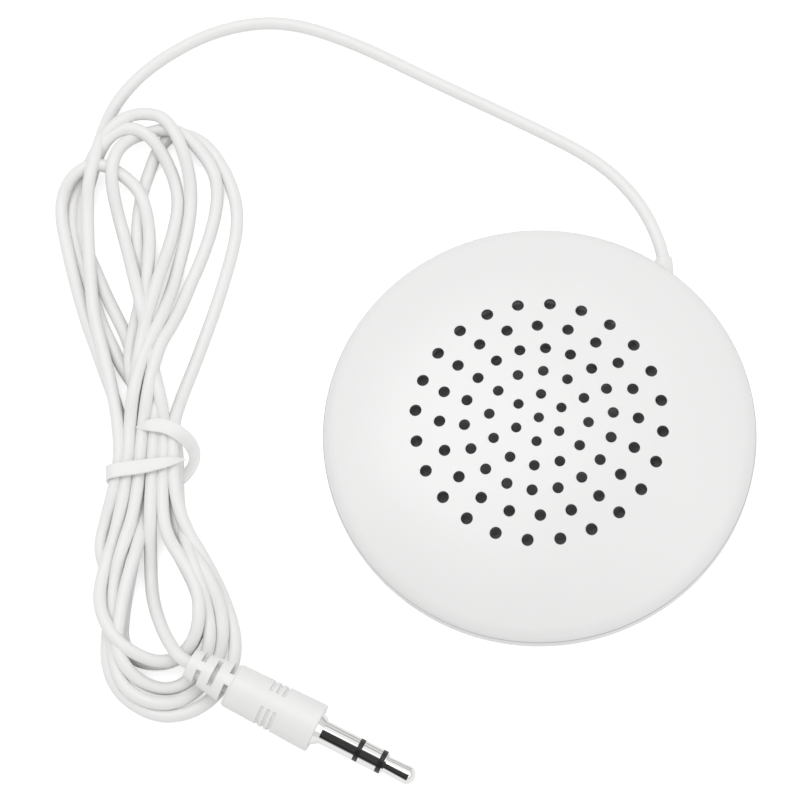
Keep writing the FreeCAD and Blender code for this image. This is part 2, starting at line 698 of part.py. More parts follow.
def driver_diaphragm():
    """Film pressed into a centre dome, a cone and a raised surround, with a flat glued edge."""
    outer = D.driver_radius - D.edge_inset
    dome_radius = (D.neck_radius * D.neck_radius + D.dome_rise * D.dome_rise) / (2 * D.dome_rise)
    neck = FLANGE_TOP - D.neck_sink
    roll = FLANGE_TOP - D.roll_sink
    return turned("driver_diaphragm", [
        (0, neck + D.dome_rise),
        Bend(dome_radius, right=False),
        (D.neck_radius, neck),
        (D.roll_inner, roll),
        Bend(D.roll_radius, right=False),
        (D.land_inner, FLANGE_TOP),
        (outer, FLANGE_TOP),
        (outer, FILM_TOP),
        (D.land_inner, FILM_TOP),
        Bend(D.roll_radius),
        (D.roll_inner, roll + D.film),
        (D.neck_radius, neck + D.film),
        Bend(dome_radius),
        (0, neck + D.dome_rise + D.film),
    ])


def driver_voice_coil():
    """Short tube glued under the neck of the diaphragm."""
    outer = D.coil_inner + D.coil_wall
    bottom = COIL_TOP - D.coil_height
    return turned("driver_voice_coil", [(D.coil_inner, bottom), (outer, bottom),
                                        (outer, COIL_TOP), (D.coil_inner, COIL_TOP)])


def driver_basket():
    """Pressed steel frame: flange, sloping wall and a vented floor round the yoke."""
    floor = BASKET_BOTTOM + D.sheet
    body = turned("driver_basket", [
        (D.yoke_radius, BASKET_BOTTOM),
        (D.basket_floor + D.sheet / 2, BASKET_BOTTOM),
        (D.basket_throat + D.sheet / 2, FLANGE_BOTTOM),
        (D.driver_radius, FLANGE_BOTTOM),
        (D.driver_radius, FLANGE_TOP),
        (D.basket_throat, FLANGE_TOP),
        (D.basket_floor, floor),
        (D.yoke_radius, floor),
    ])
    vent = new_sketch(body, "BasketVent", "XY_Plane")
    draw_circle(vent, (D.yoke_radius + D.basket_floor) / 2, 0, D.vent_radius)
    repeat_round(body, extrude(body, vent, floor + D.overrun, cut=True, reverse=True), D.vent_count)
    return body


def driver_yoke():
    """Steel cup that holds the magnet."""
    inner = D.yoke_radius - D.yoke_wall
    floor = YOKE_BOTTOM + D.yoke_floor
    return turned("driver_yoke", [(0, YOKE_BOTTOM), (D.yoke_radius, YOKE_BOTTOM), (D.yoke_radius, YOKE_TOP),
                                  (inner, YOKE_TOP), (inner, floor), (0, floor)])


def driver_magnet():
    """Disc magnet on the yoke's floor."""
    bottom = YOKE_BOTTOM + D.yoke_floor
    top = bottom + D.magnet_height
    return turned("driver_magnet", [(0, bottom), (D.magnet_radius, bottom), (D.magnet_radius, top), (0, top)])


def driver_pole_plate():
    """Steel disc on the magnet."""
    bottom = YOKE_TOP - D.pole_height
    return turned("driver_pole_plate", [(0, bottom), (D.pole_radius, bottom), (D.pole_radius, YOKE_TOP),
                                        (0, YOKE_TOP)])


def driver_terminal_board():
    """Small board under the basket's flange."""
    body = new_body("driver_terminal_board")
    plan = new_sketch(body, "BoardPlan", "XY_Plane", BOARD_BOTTOM)
    draw_rectangle(plan, -D.board_length / 2, D.board_inner,
                   D.board_length / 2, D.board_inner + D.board_width)
    extrude(body, plan, D.board_thickness)
    return body


def solder_joints():
    """Two blobs of solder under the board."""
    blobs = []
    for side, name in ((1, "Right"), (-1, "Left")):
        blob = DOC.addObject("Part::Cone", "Solder" + name)
        blob.setExpression("Radius1", D.solder_top.formula)
        blob.setExpression("Radius2", D.solder_base.formula)
        blob.setExpression("Height", D.solder_height.formula)
        blob.setExpression("Placement.Base.x", (side * D.terminal_offset).formula)
        blob.setExpression("Placement.Base.y", BOARD_MIDDLE.formula)
        blob.setExpression("Placement.Base.z", (BOARD_BOTTOM - D.solder_height).formula)
        blobs.append(blob)
    joints = DOC.addObject("Part::Compound", "SolderJoints")
    joints.Links = blobs
    joints.Label = "solder_joints"
    return joints


def rounded_path(points, radii=None):
    """Straight runs through the points, joined by tangent arcs, and the arcs' radii."""
    edges = []
    used = []
    start = points[0]
    for index in range(1, len(points) - 1):
        corner = points[index]
        back = points[index - 1] - corner
        ahead = points[index + 1] - corner
        turn = math.pi - back.getAngle(ahead)
        if radii:
            radius = radii[index - 1]
        else:
            radius = 0.45 * min(back.Length, ahead.Length) / math.tan(turn / 2)
        used.append(radius)
        cut = radius * math.tan(turn / 2)
        back.normalize()
        ahead.normalize()
        first = corner + back * cut
        last = corner + ahead * cut
        half = (back + ahead).normalize()
        middle = corner + half * (radius / math.cos(turn / 2) - radius)
        edges.append(Part.LineSegment(start, first).toShape())
        edges.append(Part.Arc(first, middle, last).toShape())
        start = last
    edges.append(Part.LineSegment(start, points[-1]).toShape())
    return Part.Wire(edges), used


def swept_tube(label, points, radius, radii=None):
    """Round tube along the points, with its volume compared with section times length."""
    path, used = rounded_path(points, radii)
    ring = Part.Wire(Part.Circle(points[0], points[1] - points[0], radius).toShape())
    tube = path.makePipe(Part.Face(ring))
    expected = math.pi * radius ** 2 * path.Length
    if abs(tube.Volume - expected) > 0.01 * expected:
        raise ValueError(f"{label}: volume {tube.Volume:.2f}, expected {expected:.2f}")
    print(label, "length", round(path.Length, 1), "radii", [round(value, 1) for value in used])
    return tube


def shape_node(label, shape):
    """A node whose shape is set directly."""
    node = DOC.addObject("Part::Feature", "Shape_" + label)
    node.Shape = shape
    node.Label = label
    node.Placement = Placement()
    return node


def lead_wires():
    """Two insulated wires from the cord's jacket to the solder joints."""
    nodes = []
    end_height = BOARD_BOTTOM.value - D.solder_height.value
    height = D.exit_height.value
    for side, label in ((1, "lead_positive"), (-1, "lead_negative")):
        start_x = side * (D.lead_radius.value + D.bore_gap.value)
        end_x = side * D.terminal_offset.value
        points = [
            Vector(start_x, JACKET_END.value, height),
            Vector(start_x, JACKET_END.value - D.lead_run.value, height),
            Vector(end_x, BOARD_MIDDLE.value, end_height - D.lead_rise.value),
            Vector(end_x, BOARD_MIDDLE.value, end_height),
        ]
        nodes.append(shape_node(label, swept_tube(label, points, D.lead_radius.value)))
    return nodes


def exit_points():
    """Points of the cord from its jacket's inner end to the end of the collar."""
    tangent = D.collar_bend.value * math.tan(math.radians(D.collar_turn.value / 2))
    heading = math.radians(90 + D.collar_turn.value)
    corner = Vector(0, EXIT_FACE.value - D.collar_end.value + tangent, D.exit_height.value)
    way = Vector(math.cos(heading), math.sin(heading), 0)
    start = Vector(0, JACKET_END.value, D.exit_height.value)
    return [start, corner, corner + way * (tangent + D.collar_end.value)]


def cord_inner_run():
    """The cord's end inside the housing, through the grommet."""
    tube = swept_tube("cord_inner_run", exit_points(), D.cord_radius.value, [D.collar_bend.value])
    return shape_node("cord_inner_run", tube)


def cord_grommet():
    """Moulded collar at the exit: inner flange, neck in the wall and a tapered bent collar."""
    path = exit_points()
    along = Vector(0, 1, 0)
    flange_start = Vector(0, FLANGE_PLACE.value, D.exit_height.value)
    flange = Part.makeCylinder(D.flange_radius.value, D.flange_width.value, flange_start, along)
    neck_start = flange_start + along * (D.flange_width.value / 2)
    neck_length = EXIT_FACE.value - neck_start.y
    neck = Part.makeCylinder(NECK_RADIUS.value, neck_length, neck_start, along)
    way = (path[2] - path[1]).normalize()
    half_turn = (along + way).normalize()
    pivot = Vector(-D.collar_bend.value, EXIT_FACE.value - D.collar_end.value, D.exit_height.value)
    outward = Vector(half_turn.y, -half_turn.x, 0)
    middle = pivot + outward * D.collar_bend.value
    root = Vector(0, EXIT_FACE.value, D.exit_height.value)
    waist = (D.collar_root.value + 2 * D.collar_tip.value) / 3
    rings = [
        Part.Wire(Part.Circle(root, along, D.collar_root.value).toShape()),
        Part.Wire(Part.Circle(middle, half_turn, waist).toShape()),
        Part.Wire(Part.Circle(path[2], way, D.collar_tip.value).toShape()),
    ]
    collar = Part.makeLoft(rings, True, False)
    bore = swept_tube("cord_grommet bore", [path[0], path[1], path[2] + way],
                      D.cord_radius.value + D.bore_gap.value, [D.collar_bend.value])
    body = flange.fuse([neck, collar]).cut(bore).removeSplitter()
    return shape_node("cord_grommet", body.Solids[0] if len(body.Solids) == 1 else body)


def straight_on(before, end, length):
    """A point past the end, in the same direction."""
    return end + (end - before).normalize() * length


def lead_points():
    """Points of the long lead, from the collar's end to the hank."""
    corner, end = exit_points()[1:]
    return [end, straight_on(corner, end, D.free_start.value)] + [Vector(*point) for point in LEAD_ROUTE]


def cord_lead():
    """The long free arc of the cord from the collar to the hank."""
    return shape_node("cord_lead", swept_tube("cord_lead", lead_points(), D.cord_radius.value))


def hank_section(place, left, right, height):
    """A flat rounded section across the hank, standing on the surface."""
    radius = height / 2
    a = Vector(place, left + radius, 0)
    b = Vector(place, right - radius, 0)
    up = Vector(0, 0, height)
    out = Vector(0, radius, 0)
    middle = Vector(0, 0, radius)
    edges = [
        Part.LineSegment(a, b).toShape(),
        Part.Arc(b, b + out + middle, b + up).toShape(),
        Part.LineSegment(b + up, a + up).toShape(),
        Part.Arc(a + up, a - out + middle, a).toShape(),
    ]
    return Part.Wire(edges)


def plug_frame():
    """Placement of the plug: its own Z runs from the tail of the strain relief to the tip."""
    dip = math.radians(D.plug_dip.value)
    heading = math.radians(D.plug_heading.value)
    level = math.cos(dip)
    way = Vector(level * math.cos(heading), level * math.sin(heading), -math.sin(dip))
    shoulder = Vector(D.plug_x.value, D.plug_y.value, D.plug_z.value)
    side = Vector(0, 0, 1).cross(way).normalize()
    turn = Rotation(way.cross(side) * -1, side * -1, way, "ZXY")
    return Placement(shoulder - way * SHOULDER.value, turn)


def cord_hank():
    """Outer form of the tied hank, with the stretches of cord that join it to lead and plug."""
    wires = [hank_section(*section) for section in HANK_SECTIONS]
    bundle = Part.makeLoft(wires, True, False)
    heading = Rotation(Vector(0, 0, 1), D.hank_heading.value)
    bundle.Placement = Placement(Vector(D.hank_x.value, D.hank_y.value, 0), heading)
    before, end = lead_points()[-2:]
    entry = [end, straight_on(before, end, (end - before).Length)]
    entry += [Vector(*point) for point in HANK_ENTRY]
    frame = plug_frame()
    tail = frame.Base
    leaving = [tail, frame.multVec(Vector(0, 0, -D.plug_tail_run.value))]
    leaving += [Vector(*point) for point in HANK_LEAVING]
    tubes = [swept_tube("hank entry", entry, D.cord_radius.value),
             swept_tube("hank leaving", leaving, D.cord_radius.value)]
    return shape_node("cord_hank", bundle.fuse(tubes))


def cord_plug_end():
    """The cord's end inside the plug's grip."""
    return turned("cord_plug_end", [(0, 0), (D.cord_radius, 0), (D.cord_radius, D.mould_start),
                                    (0, D.mould_start)])


def plug_grip():
    """Moulded grip and slotted strain relief in one piece."""
    round_end = D.grip_round
    bore = D.cord_radius + D.bore_gap
    body = turned("plug_grip", [
        (bore, 0),
        (D.relief_tail, 0),
        (D.relief_root, D.relief_length),
        (D.grip_rear - round_end, D.relief_length),
        Bend(round_end),
        (D.grip_rear, D.relief_length + round_end),
        (D.grip_front, SHOULDER - round_end),
        Bend(round_end),
        (D.grip_front - round_end, SHOULDER),
        (D.mould_radius, SHOULDER),
        (D.mould_radius, D.mould_start),
        (bore, D.mould_start),
    ])
    for name, plane, numbers, sweep in (("SlotsSide", "YZ_Plane", (0, 2), D.side_sweep),
                                        ("SlotsTop", "XZ_Plane", (1,), D.top_sweep)):
        slots = new_sketch(body, name, plane)
        for number in numbers:
            low = D.slot_start + D.slot_pitch * number
            draw_rectangle(slots, D.relief_core, low, D.relief_root + D.overrun, low + D.slot_width)
        repeat_round(body, revolve(body, slots, cut=True, sweep=sweep), 2)
    grooves = new_sketch(body, "GripGrooves", "YZ_Plane")
    for number in range(int(D.groove_count.value)):
        low = D.groove_start + D.groove_pitch * number
        share = (low + D.groove_width / 2 - D.relief_length) / D.grip_length
        surface = D.grip_rear + (D.grip_front - D.grip_rear) * share
        draw_rectangle(grooves, surface - D.groove_depth, low, surface + D.overrun, low + D.groove_width)
    repeat_round(body, revolve(body, grooves, cut=True, sweep=D.groove_sweep), 2)
    return body


def plug_tubes():
    """Radii and back ends of the nested contacts, from the rod outwards."""
    radii = [D.rod_radius]
    for number in range(3):
        radii.append(radii[-1] + D.tube_wall)
    back = SHOULDER - D.tail_length
    backs = [back - D.tail_step * number for number in range(5)]
    return radii, backs


def plug_inner_mould():
    """Hard mould round the contacts' tails."""
    radii, backs = plug_tubes()
    return turned("plug_inner_mould", [
        (0, D.mould_start),
        (D.mould_radius, D.mould_start),
        (D.mould_radius, SHOULDER),
        (D.shaft_radius, SHOULDER),
        (D.shaft_radius, backs[0]),
        (radii[3], backs[0]),
        (radii[3], backs[1]),
        (radii[2], backs[1]),
        (radii[2], backs[2]),
        (radii[1], backs[2]),
        (radii[1], backs[3]),
        (radii[0], backs[3]),
        (radii[0], backs[4] + D.tail_step / 2),
        (0, backs[4] + D.tail_step / 2),
    ])


def plug_contacts():
    """Sleeve, two insulators, ring and tip, nested about one axis."""
    radii, backs = plug_tubes()
    collar_end = SHOULDER + D.collar_length
    sleeve_end = collar_end + D.sleeve_length
    rear_end = sleeve_end + D.insulator_length
    ring_end = rear_end + D.ring_length
    front_end = ring_end + D.insulator_length
    nose_start = front_end + D.tip_body
    tip_end = nose_start + D.tip_nose
    edge = D.shaft_radius
    sleeve = turned("plug_sleeve", [
        (radii[3], backs[0]), (edge, backs[0]), (edge, SHOULDER), (D.collar_radius, SHOULDER),
        (D.collar_front, collar_end), (edge, collar_end), (edge, sleeve_end), (radii[3], sleeve_end)])
    rear = turned("plug_insulator_rear", [
        (radii[2], backs[1]), (radii[3], backs[1]), (radii[3], sleeve_end), (edge, sleeve_end),
        (edge, rear_end), (radii[2], rear_end)])
    ring = turned("plug_ring_contact", [
        (radii[1], backs[2]), (radii[2], backs[2]), (radii[2], rear_end), (edge, rear_end),
        (edge, ring_end), (radii[1], ring_end)])
    front = turned("plug_insulator_front", [
        (radii[0], backs[3]), (radii[1], backs[3]), (radii[1], ring_end), (edge, ring_end),
        (edge, front_end), (radii[0], front_end)])
    start = backs[4] + D.tail_step / 2
    nose_radius = (D.tip_swell * D.tip_swell + D.tip_nose * D.tip_nose) / (2 * D.tip_nose)
    tip = turned("plug_tip", [
        (0, start),
        (radii[0], start),
        (radii[0], front_end),
        (D.tip_flange, front_end),
        (D.tip_flange, front_end + D.tip_land),
        (D.tip_neck, front_end + D.tip_land),
        (D.tip_swell, nose_start),
        Bend(nose_radius),
        (0, tip_end),
    ])
    return [sleeve, rear, ring, front, tip]


def check_document(nodes):
    """Stop on any object that failed or any node without a valid shape."""
    for item in DOC.Objects:
        if "Invalid" in item.State or "Error" in item.State:
            raise ValueError(f"{item.Name} failed: {item.State}")
    for node in nodes:
        if node.Shape.isNull() or not node.Shape.isValid():
            raise ValueError(f"{node.Label} has no valid shape")


def build():
    """Make every piece and write each to its own file."""
    nodes = [front_shell(), rear_shell(), case_screws(), driver_gasket(), driver_diaphragm(),
             driver_voice_coil(), driver_basket(), driver_yoke(), driver_magnet(),
             driver_pole_plate(), driver_terminal_board(), solder_joints()]
    nodes += lead_wires()
    nodes += [cord_inner_run(), cord_grommet(), cord_lead(), cord_hank()]
    plug = [cord_plug_end(), plug_grip(), plug_inner_mould()] + plug_contacts()
    for piece in plug:
        piece.Placement = plug_frame()
    nodes += plug
    DOC.recompute()
    check_document(nodes)
    os.makedirs("parts", exist_ok=True)
    for node in nodes:
        solids = len(node.Shape.Solids)
        print(node.Label, "solids", solids, "volume", round(node.Shape.Volume, 2))
        node.Shape.exportStep(f"parts/{node.Label}.step")


build()
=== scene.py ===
"""Pillow speaker: a perforated white housing with its driver, and a thin cord in a tied hank."""

import logging
import math
from dataclasses import dataclass, field
from enum import Enum

import bpy
from mathutils import Matrix, Vector


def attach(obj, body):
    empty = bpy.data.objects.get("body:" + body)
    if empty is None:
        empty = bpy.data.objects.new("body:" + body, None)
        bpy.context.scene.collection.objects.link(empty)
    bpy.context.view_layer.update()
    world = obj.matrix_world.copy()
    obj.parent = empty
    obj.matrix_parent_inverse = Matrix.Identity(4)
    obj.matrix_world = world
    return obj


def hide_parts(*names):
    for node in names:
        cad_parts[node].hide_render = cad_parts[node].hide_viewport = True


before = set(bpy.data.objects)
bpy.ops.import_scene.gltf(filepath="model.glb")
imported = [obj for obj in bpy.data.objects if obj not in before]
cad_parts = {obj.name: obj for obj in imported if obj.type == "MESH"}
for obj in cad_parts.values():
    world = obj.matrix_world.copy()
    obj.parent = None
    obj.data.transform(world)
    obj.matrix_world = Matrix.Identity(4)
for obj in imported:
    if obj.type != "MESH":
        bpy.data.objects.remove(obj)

LOG = logging.getLogger("pillow_speaker")
BODY = "root"
MM = 0.001
UP = Vector((0.0, 0.0, 1.0))
FLOAT, VECTOR, COLOUR = "NodeSocketFloat", "NodeSocketVector", "NodeSocketColor"
GEOMETRY, MATERIAL = "NodeSocketGeometry", "NodeSocketMaterial"
Socket = bpy.types.NodeSocket


class Mark(Enum):
    """Mark on a piece: the rings that its making leaves, or painted shade."""

    NONE = "none"
    TURNED = "turned rings round the plug's axis"
    # Painted shade: a dark line in the groove where the shells meet, and darkened walls inside the
    # sound holes
    SHELL_SHADE = "dark line where the shells meet, and dark walls in the sound holes"


# Finishes


@dataclass(frozen=True)
class Finish:
    """How one material looks.

    Attributes:
        name: Material name.
        colour: Base colour, linear.
        roughness: Middle roughness.
        spread: How far the roughness wanders to each side.
        metallic: 0 for plastic, 1 for metal.
        mottle: How far the colour wanders.
        grain: Size of the surface grain in metres.
        depth: Depth of the grain in metres.
        coat: Weight of a clear coat.
        specular: Specular level.
        subsurface: Weight of light that scatters inside.
        rounding: Radius of edges that are softened in shading, in metres.
        mark: Mark of its making, or painted shade.
    """

    name: str
    colour: tuple[float, float, float]
    roughness: float
    spread: float = 0.05
    metallic: float = 0.0
    mottle: float = 0.02
    grain: float = 0.0004
    depth: float = 0.000004
    coat: float = 0.0
    specular: float = 0.5
    subsurface: float = 0.0
    rounding: float = 0.0
    mark: Mark = Mark.NONE


# Its mark paints shade into the colour: a dark line in the seam groove and darkened hole walls
WHITE_SHELL = Finish("shell_abs", (0.86, 0.86, 0.855), 0.34, spread=0.04, mottle=0.008,
                     grain=0.00025, depth=0.0000015, subsurface=0.05, rounding=0.00009,
                     mark=Mark.SHELL_SHADE)
CORD_JACKET = Finish("cord_jacket", (0.86, 0.86, 0.85), 0.42, spread=0.06, mottle=0.015,
                     grain=0.0006, subsurface=0.05)
GRIP_MOULD = Finish("grip_mould", (0.86, 0.86, 0.85), 0.38, spread=0.06, mottle=0.012,
                    grain=0.0003, depth=0.000003, subsurface=0.05, rounding=0.00015)
INNER_MOULD = Finish("inner_mould", (0.78, 0.78, 0.75), 0.5, mottle=0.03)
CONTACT = Finish("contact_plating", (0.83, 0.83, 0.82), 0.06, spread=0.03, metallic=1.0,
                 mottle=0.015, grain=0.0002, depth=0.0000006, mark=Mark.TURNED)
INSULATOR = Finish("insulator_ring", (0.018, 0.018, 0.018), 0.3)
SCREW_STEEL = Finish("screw_zinc", (0.55, 0.55, 0.56), 0.28, metallic=1.0, spread=0.1, mottle=0.05,
                     grain=0.0003)
GASKET_FOAM = Finish("gasket_foam_grey", (0.3, 0.3, 0.3), 0.85, mottle=0.2, grain=0.00025,
                     depth=0.00004)
FILM = Finish("pressed_film", (0.42, 0.42, 0.43), 0.42, mottle=0.05, coat=0.05, specular=0.3,
              grain=0.002)
COPPER = Finish("coil_copper", (0.68, 0.33, 0.17), 0.3, metallic=1.0, mottle=0.08)
PRESSED_STEEL = Finish("basket_steel", (0.58, 0.57, 0.54), 0.36, spread=0.1, metallic=1.0,
                       mottle=0.06, grain=0.0008)
MAGNET = Finish("magnet_plating", (0.62, 0.61, 0.58), 0.2, metallic=1.0, mottle=0.03)
BOARD = Finish("board_lacquer", (0.03, 0.2, 0.08), 0.35, mottle=0.25, coat=0.3, grain=0.0005,
               depth=0.00001)
SOLDER = Finish("solder_tin", (0.66, 0.66, 0.68), 0.24, metallic=1.0, mottle=0.05)
WIRE_RED = Finish("lead_red", (0.55, 0.03, 0.02), 0.4)
WIRE_BLACK = Finish("lead_black", (0.02, 0.02, 0.02), 0.4)


# Nodes


class Net:
    """A node tree that is being wired."""

    def __init__(self, tree: bpy.types.NodeTree) -> None:
        """Take a tree.

        Args:
            tree: The tree.
        """
        self.tree = tree

    def fill(self, node: bpy.types.Node, inputs: dict[str | int, object]) -> None:
        """Set a node's inputs.

        Args:
            node: The node.
            inputs: Socket to link or value to set, by each input's name or number.
        """
        for name, value in inputs.items():
            if isinstance(value, Socket):
                self.tree.links.new(value, node.inputs[name])
            else:
                node.inputs[name].default_value = value

    def add(self, kind: str, inputs: dict[str | int, object] | None = None,
            **settings: object) -> bpy.types.NodeOutputs:
        """Add a node.

        Args:
            kind: Type of the node.
            inputs: Socket to link or value to set, by each input's name or number.
            settings: The node's own settings.

        Returns:
            The node's outputs.
        """
        node = self.tree.nodes.new(kind)
        for name, value in settings.items():
            setattr(node, name, value)
        self.fill(node, inputs or {})
        return node.outputs

    def open(self, side: str, kinds: dict[str, str]) -> dict[str, str]:
        """Give the tree its own sockets.

        Args:
            side: INPUT or OUTPUT.
            kinds: Type of each socket, by name.

        Returns:
            Identifier of each socket, by name.
        """
        face = self.tree.interface
        return {name: face.new_socket(name, in_out=side, socket_type=kind).identifier
                for name, kind in kinds.items()}

    def reckon(self, operation: str, *values: float | Socket) -> Socket:
        """Add a Math node.

        Args:
            operation: Name of the operation.
            values: Numbers or sockets, in input order.

        Returns:
            The node's output.
        """
        return self.add("ShaderNodeMath", dict(enumerate(values)), operation=operation)[0]

    def distance(self, *sides: Socket) -> Socket:
        """Length of a line.

        Args:
            sides: The line's extent along each axis.

        Returns:
            The length.
        """
        total, *others = [self.reckon("POWER", side, 2.0) for side in sides]
        for other in others:
            total = self.reckon("ADD", total, other)
        return self.reckon("SQRT", total)

    def scaled(self, colour: Socket, gain: Socket) -> Socket:
        """Make a colour brighter or darker.

        Args:
            colour: The colour.
            gain: What it is multiplied by.

        Returns:
            The new colour.
        """
        inputs = {0: colour, "Scale": gain}
        return self.add("ShaderNodeVectorMath", inputs, operation="SCALE")["Vector"]


class Group(Net):
    """A shader node group, with the type of each of its inputs and outputs by name."""

    NAME = ""
    INPUTS: dict[str, str] = {}
    OUTPUTS = {"Color": COLOUR}

    def __init__(self) -> None:
        """Build the group."""
        super().__init__(bpy.data.node_groups.new(self.NAME, "ShaderNodeTree"))
        self.open("INPUT", self.INPUTS)
        self.open("OUTPUT", self.OUTPUTS)
        self.source = self.add("NodeGroupInput")
        self.add("NodeGroupOutput", self.results())

    def results(self) -> dict[str, Socket]:
        """Add the nodes between the group's inputs and outputs.

        Returns:
            What each output shows, by name.
        """
        raise NotImplementedError

    def shaded(self, mask: Socket) -> dict[str, Socket]:
        """Darken the group's Color by its Shade where a mask is set.

        Args:
            mask: Where to darken, from 0 to 1.

        Returns:
            What the Color output shows.
        """
        loss = self.reckon("MULTIPLY", mask, self.source["Shade"])
        return {"Color": self.scaled(self.source["Color"], self.reckon("SUBTRACT", 1.0, loss))}


class GrainGroup(Group):
    """Fine grain, colour wander and roughness wander for any surface."""

    NAME = "Surface grain"
    INPUTS = {"Vector": VECTOR, "Color": COLOUR, "Mottle": FLOAT, "Roughness": FLOAT,
              "Spread": FLOAT, "Grain": FLOAT}
    OUTPUTS = {"Color": COLOUR, "Roughness": FLOAT, "Height": FLOAT}
    CLOUDS = 90.0  # Scale of the wander, per metre

    def results(self) -> dict[str, Socket]:
        """Add the nodes. A wander is twice the noise's way from its middle, 0.5."""
        source = self.source
        wide = self.add("ShaderNodeTexNoise", {
            "Vector": source["Vector"], "Scale": self.CLOUDS, "Detail": 3.0})
        centred = self.reckon("SUBTRACT", wide["Fac"], 0.5)
        wander = self.reckon("MULTIPLY", centred, source["Mottle"])
        gain = self.reckon("MULTIPLY_ADD", wander, 2.0, 1.0)
        rough = self.reckon("MULTIPLY", centred, source["Spread"])
        fine = self.add("ShaderNodeTexNoise", {
            "Vector": source["Vector"], "Scale": self.reckon("DIVIDE", 1.0, source["Grain"]),
            "Detail": 2.0})
        return {"Color": self.scaled(source["Color"], gain), "Height": fine["Fac"],
                "Roughness": self.reckon("MULTIPLY_ADD", rough, 2.0, source["Roughness"])}


class TurnedGroup(Group):
    """Fine rings round the Vector's Z, as a lathe leaves them."""

    NAME = "Turned marks"
    INPUTS = {"Vector": VECTOR}
    OUTPUTS = {"Height": FLOAT}
    STRETCH = (0.02, 0.02, 1.0)  # Scale of the noise along each axis
    RINGS = 9000.0  # Scale of the rings, per metre

    def results(self) -> dict[str, Socket]:
        """Add the nodes."""
        squeeze = self.add("ShaderNodeVectorMath", {0: self.source["Vector"], 1: self.STRETCH},
                           operation="MULTIPLY")
        rings = self.add("ShaderNodeTexNoise", {
            "Vector": squeeze["Vector"], "Scale": self.RINGS, "Detail": 2.0})
        return {"Height": rings["Fac"]}


class SeamShadeGroup(Group):
    """Painted shade: a soft dark line at one Level, as wide as twice Reach, further out than
    Radius, standing in for the shade in the groove where the shells meet.
    """

    NAME = "Seam shade line"
    INPUTS = {"Vector": VECTOR, "Color": COLOUR, "Level": FLOAT, "Reach": FLOAT, "Radius": FLOAT,
              "Shade": FLOAT}

    def results(self) -> dict[str, Socket]:
        """Add the nodes."""
        source = self.source
        split = self.add("ShaderNodeSeparateXYZ", {"Vector": source["Vector"]})
        above = self.reckon("SUBTRACT", split["Z"], source["Level"])
        away = self.reckon("DIVIDE", self.reckon("ABSOLUTE", above), source["Reach"])
        near = self.reckon("SUBTRACT", 1.0, self.reckon("MINIMUM", away, 1.0))
        radius = self.distance(split["X"], split["Y"])
        outside = self.reckon("GREATER_THAN", radius, source["Radius"])
        return self.shaded(self.reckon("MULTIPLY", self.reckon("SQRT", near), outside))


class HoleShadeGroup(Group):
    """Painted shade on the walls of the holes of a dome that is part of a Sphere round a Centre on
    the Z axis.

    They begin under the Skin, end at Deep and lie nearer to the axis than Radius.
    """

    NAME = "Hole wall shade"
    INPUTS = {"Vector": VECTOR, "Color": COLOUR, "Centre": FLOAT, "Sphere": FLOAT, "Radius": FLOAT,
              "Skin": FLOAT, "Deep": FLOAT, "Shade": FLOAT}
    FADE = 4.0  # Depth at which the walls are wholly dark, in Skins

    def results(self) -> dict[str, Socket]:
        """Add the nodes."""
        source = self.source
        split = self.add("ShaderNodeSeparateXYZ", {"Vector": source["Vector"]})
        rise = self.reckon("SUBTRACT", split["Z"], source["Centre"])
        reach = self.distance(split["X"], split["Y"], rise)
        depth = self.reckon("SUBTRACT", source["Sphere"], reach)
        under = self.add("ShaderNodeMapRange", {
            "Value": depth, "From Min": source["Skin"],
            "From Max": self.reckon("MULTIPLY", source["Skin"], self.FADE),
        }, interpolation_type="SMOOTHSTEP")["Result"]
        above = self.reckon("LESS_THAN", depth, source["Deep"])
        radius = self.distance(split["X"], split["Y"])
        inside = self.reckon("LESS_THAN", radius, source["Radius"])
        return self.shaded(self.reckon("MULTIPLY", under, self.reckon("MULTIPLY", above, inside)))


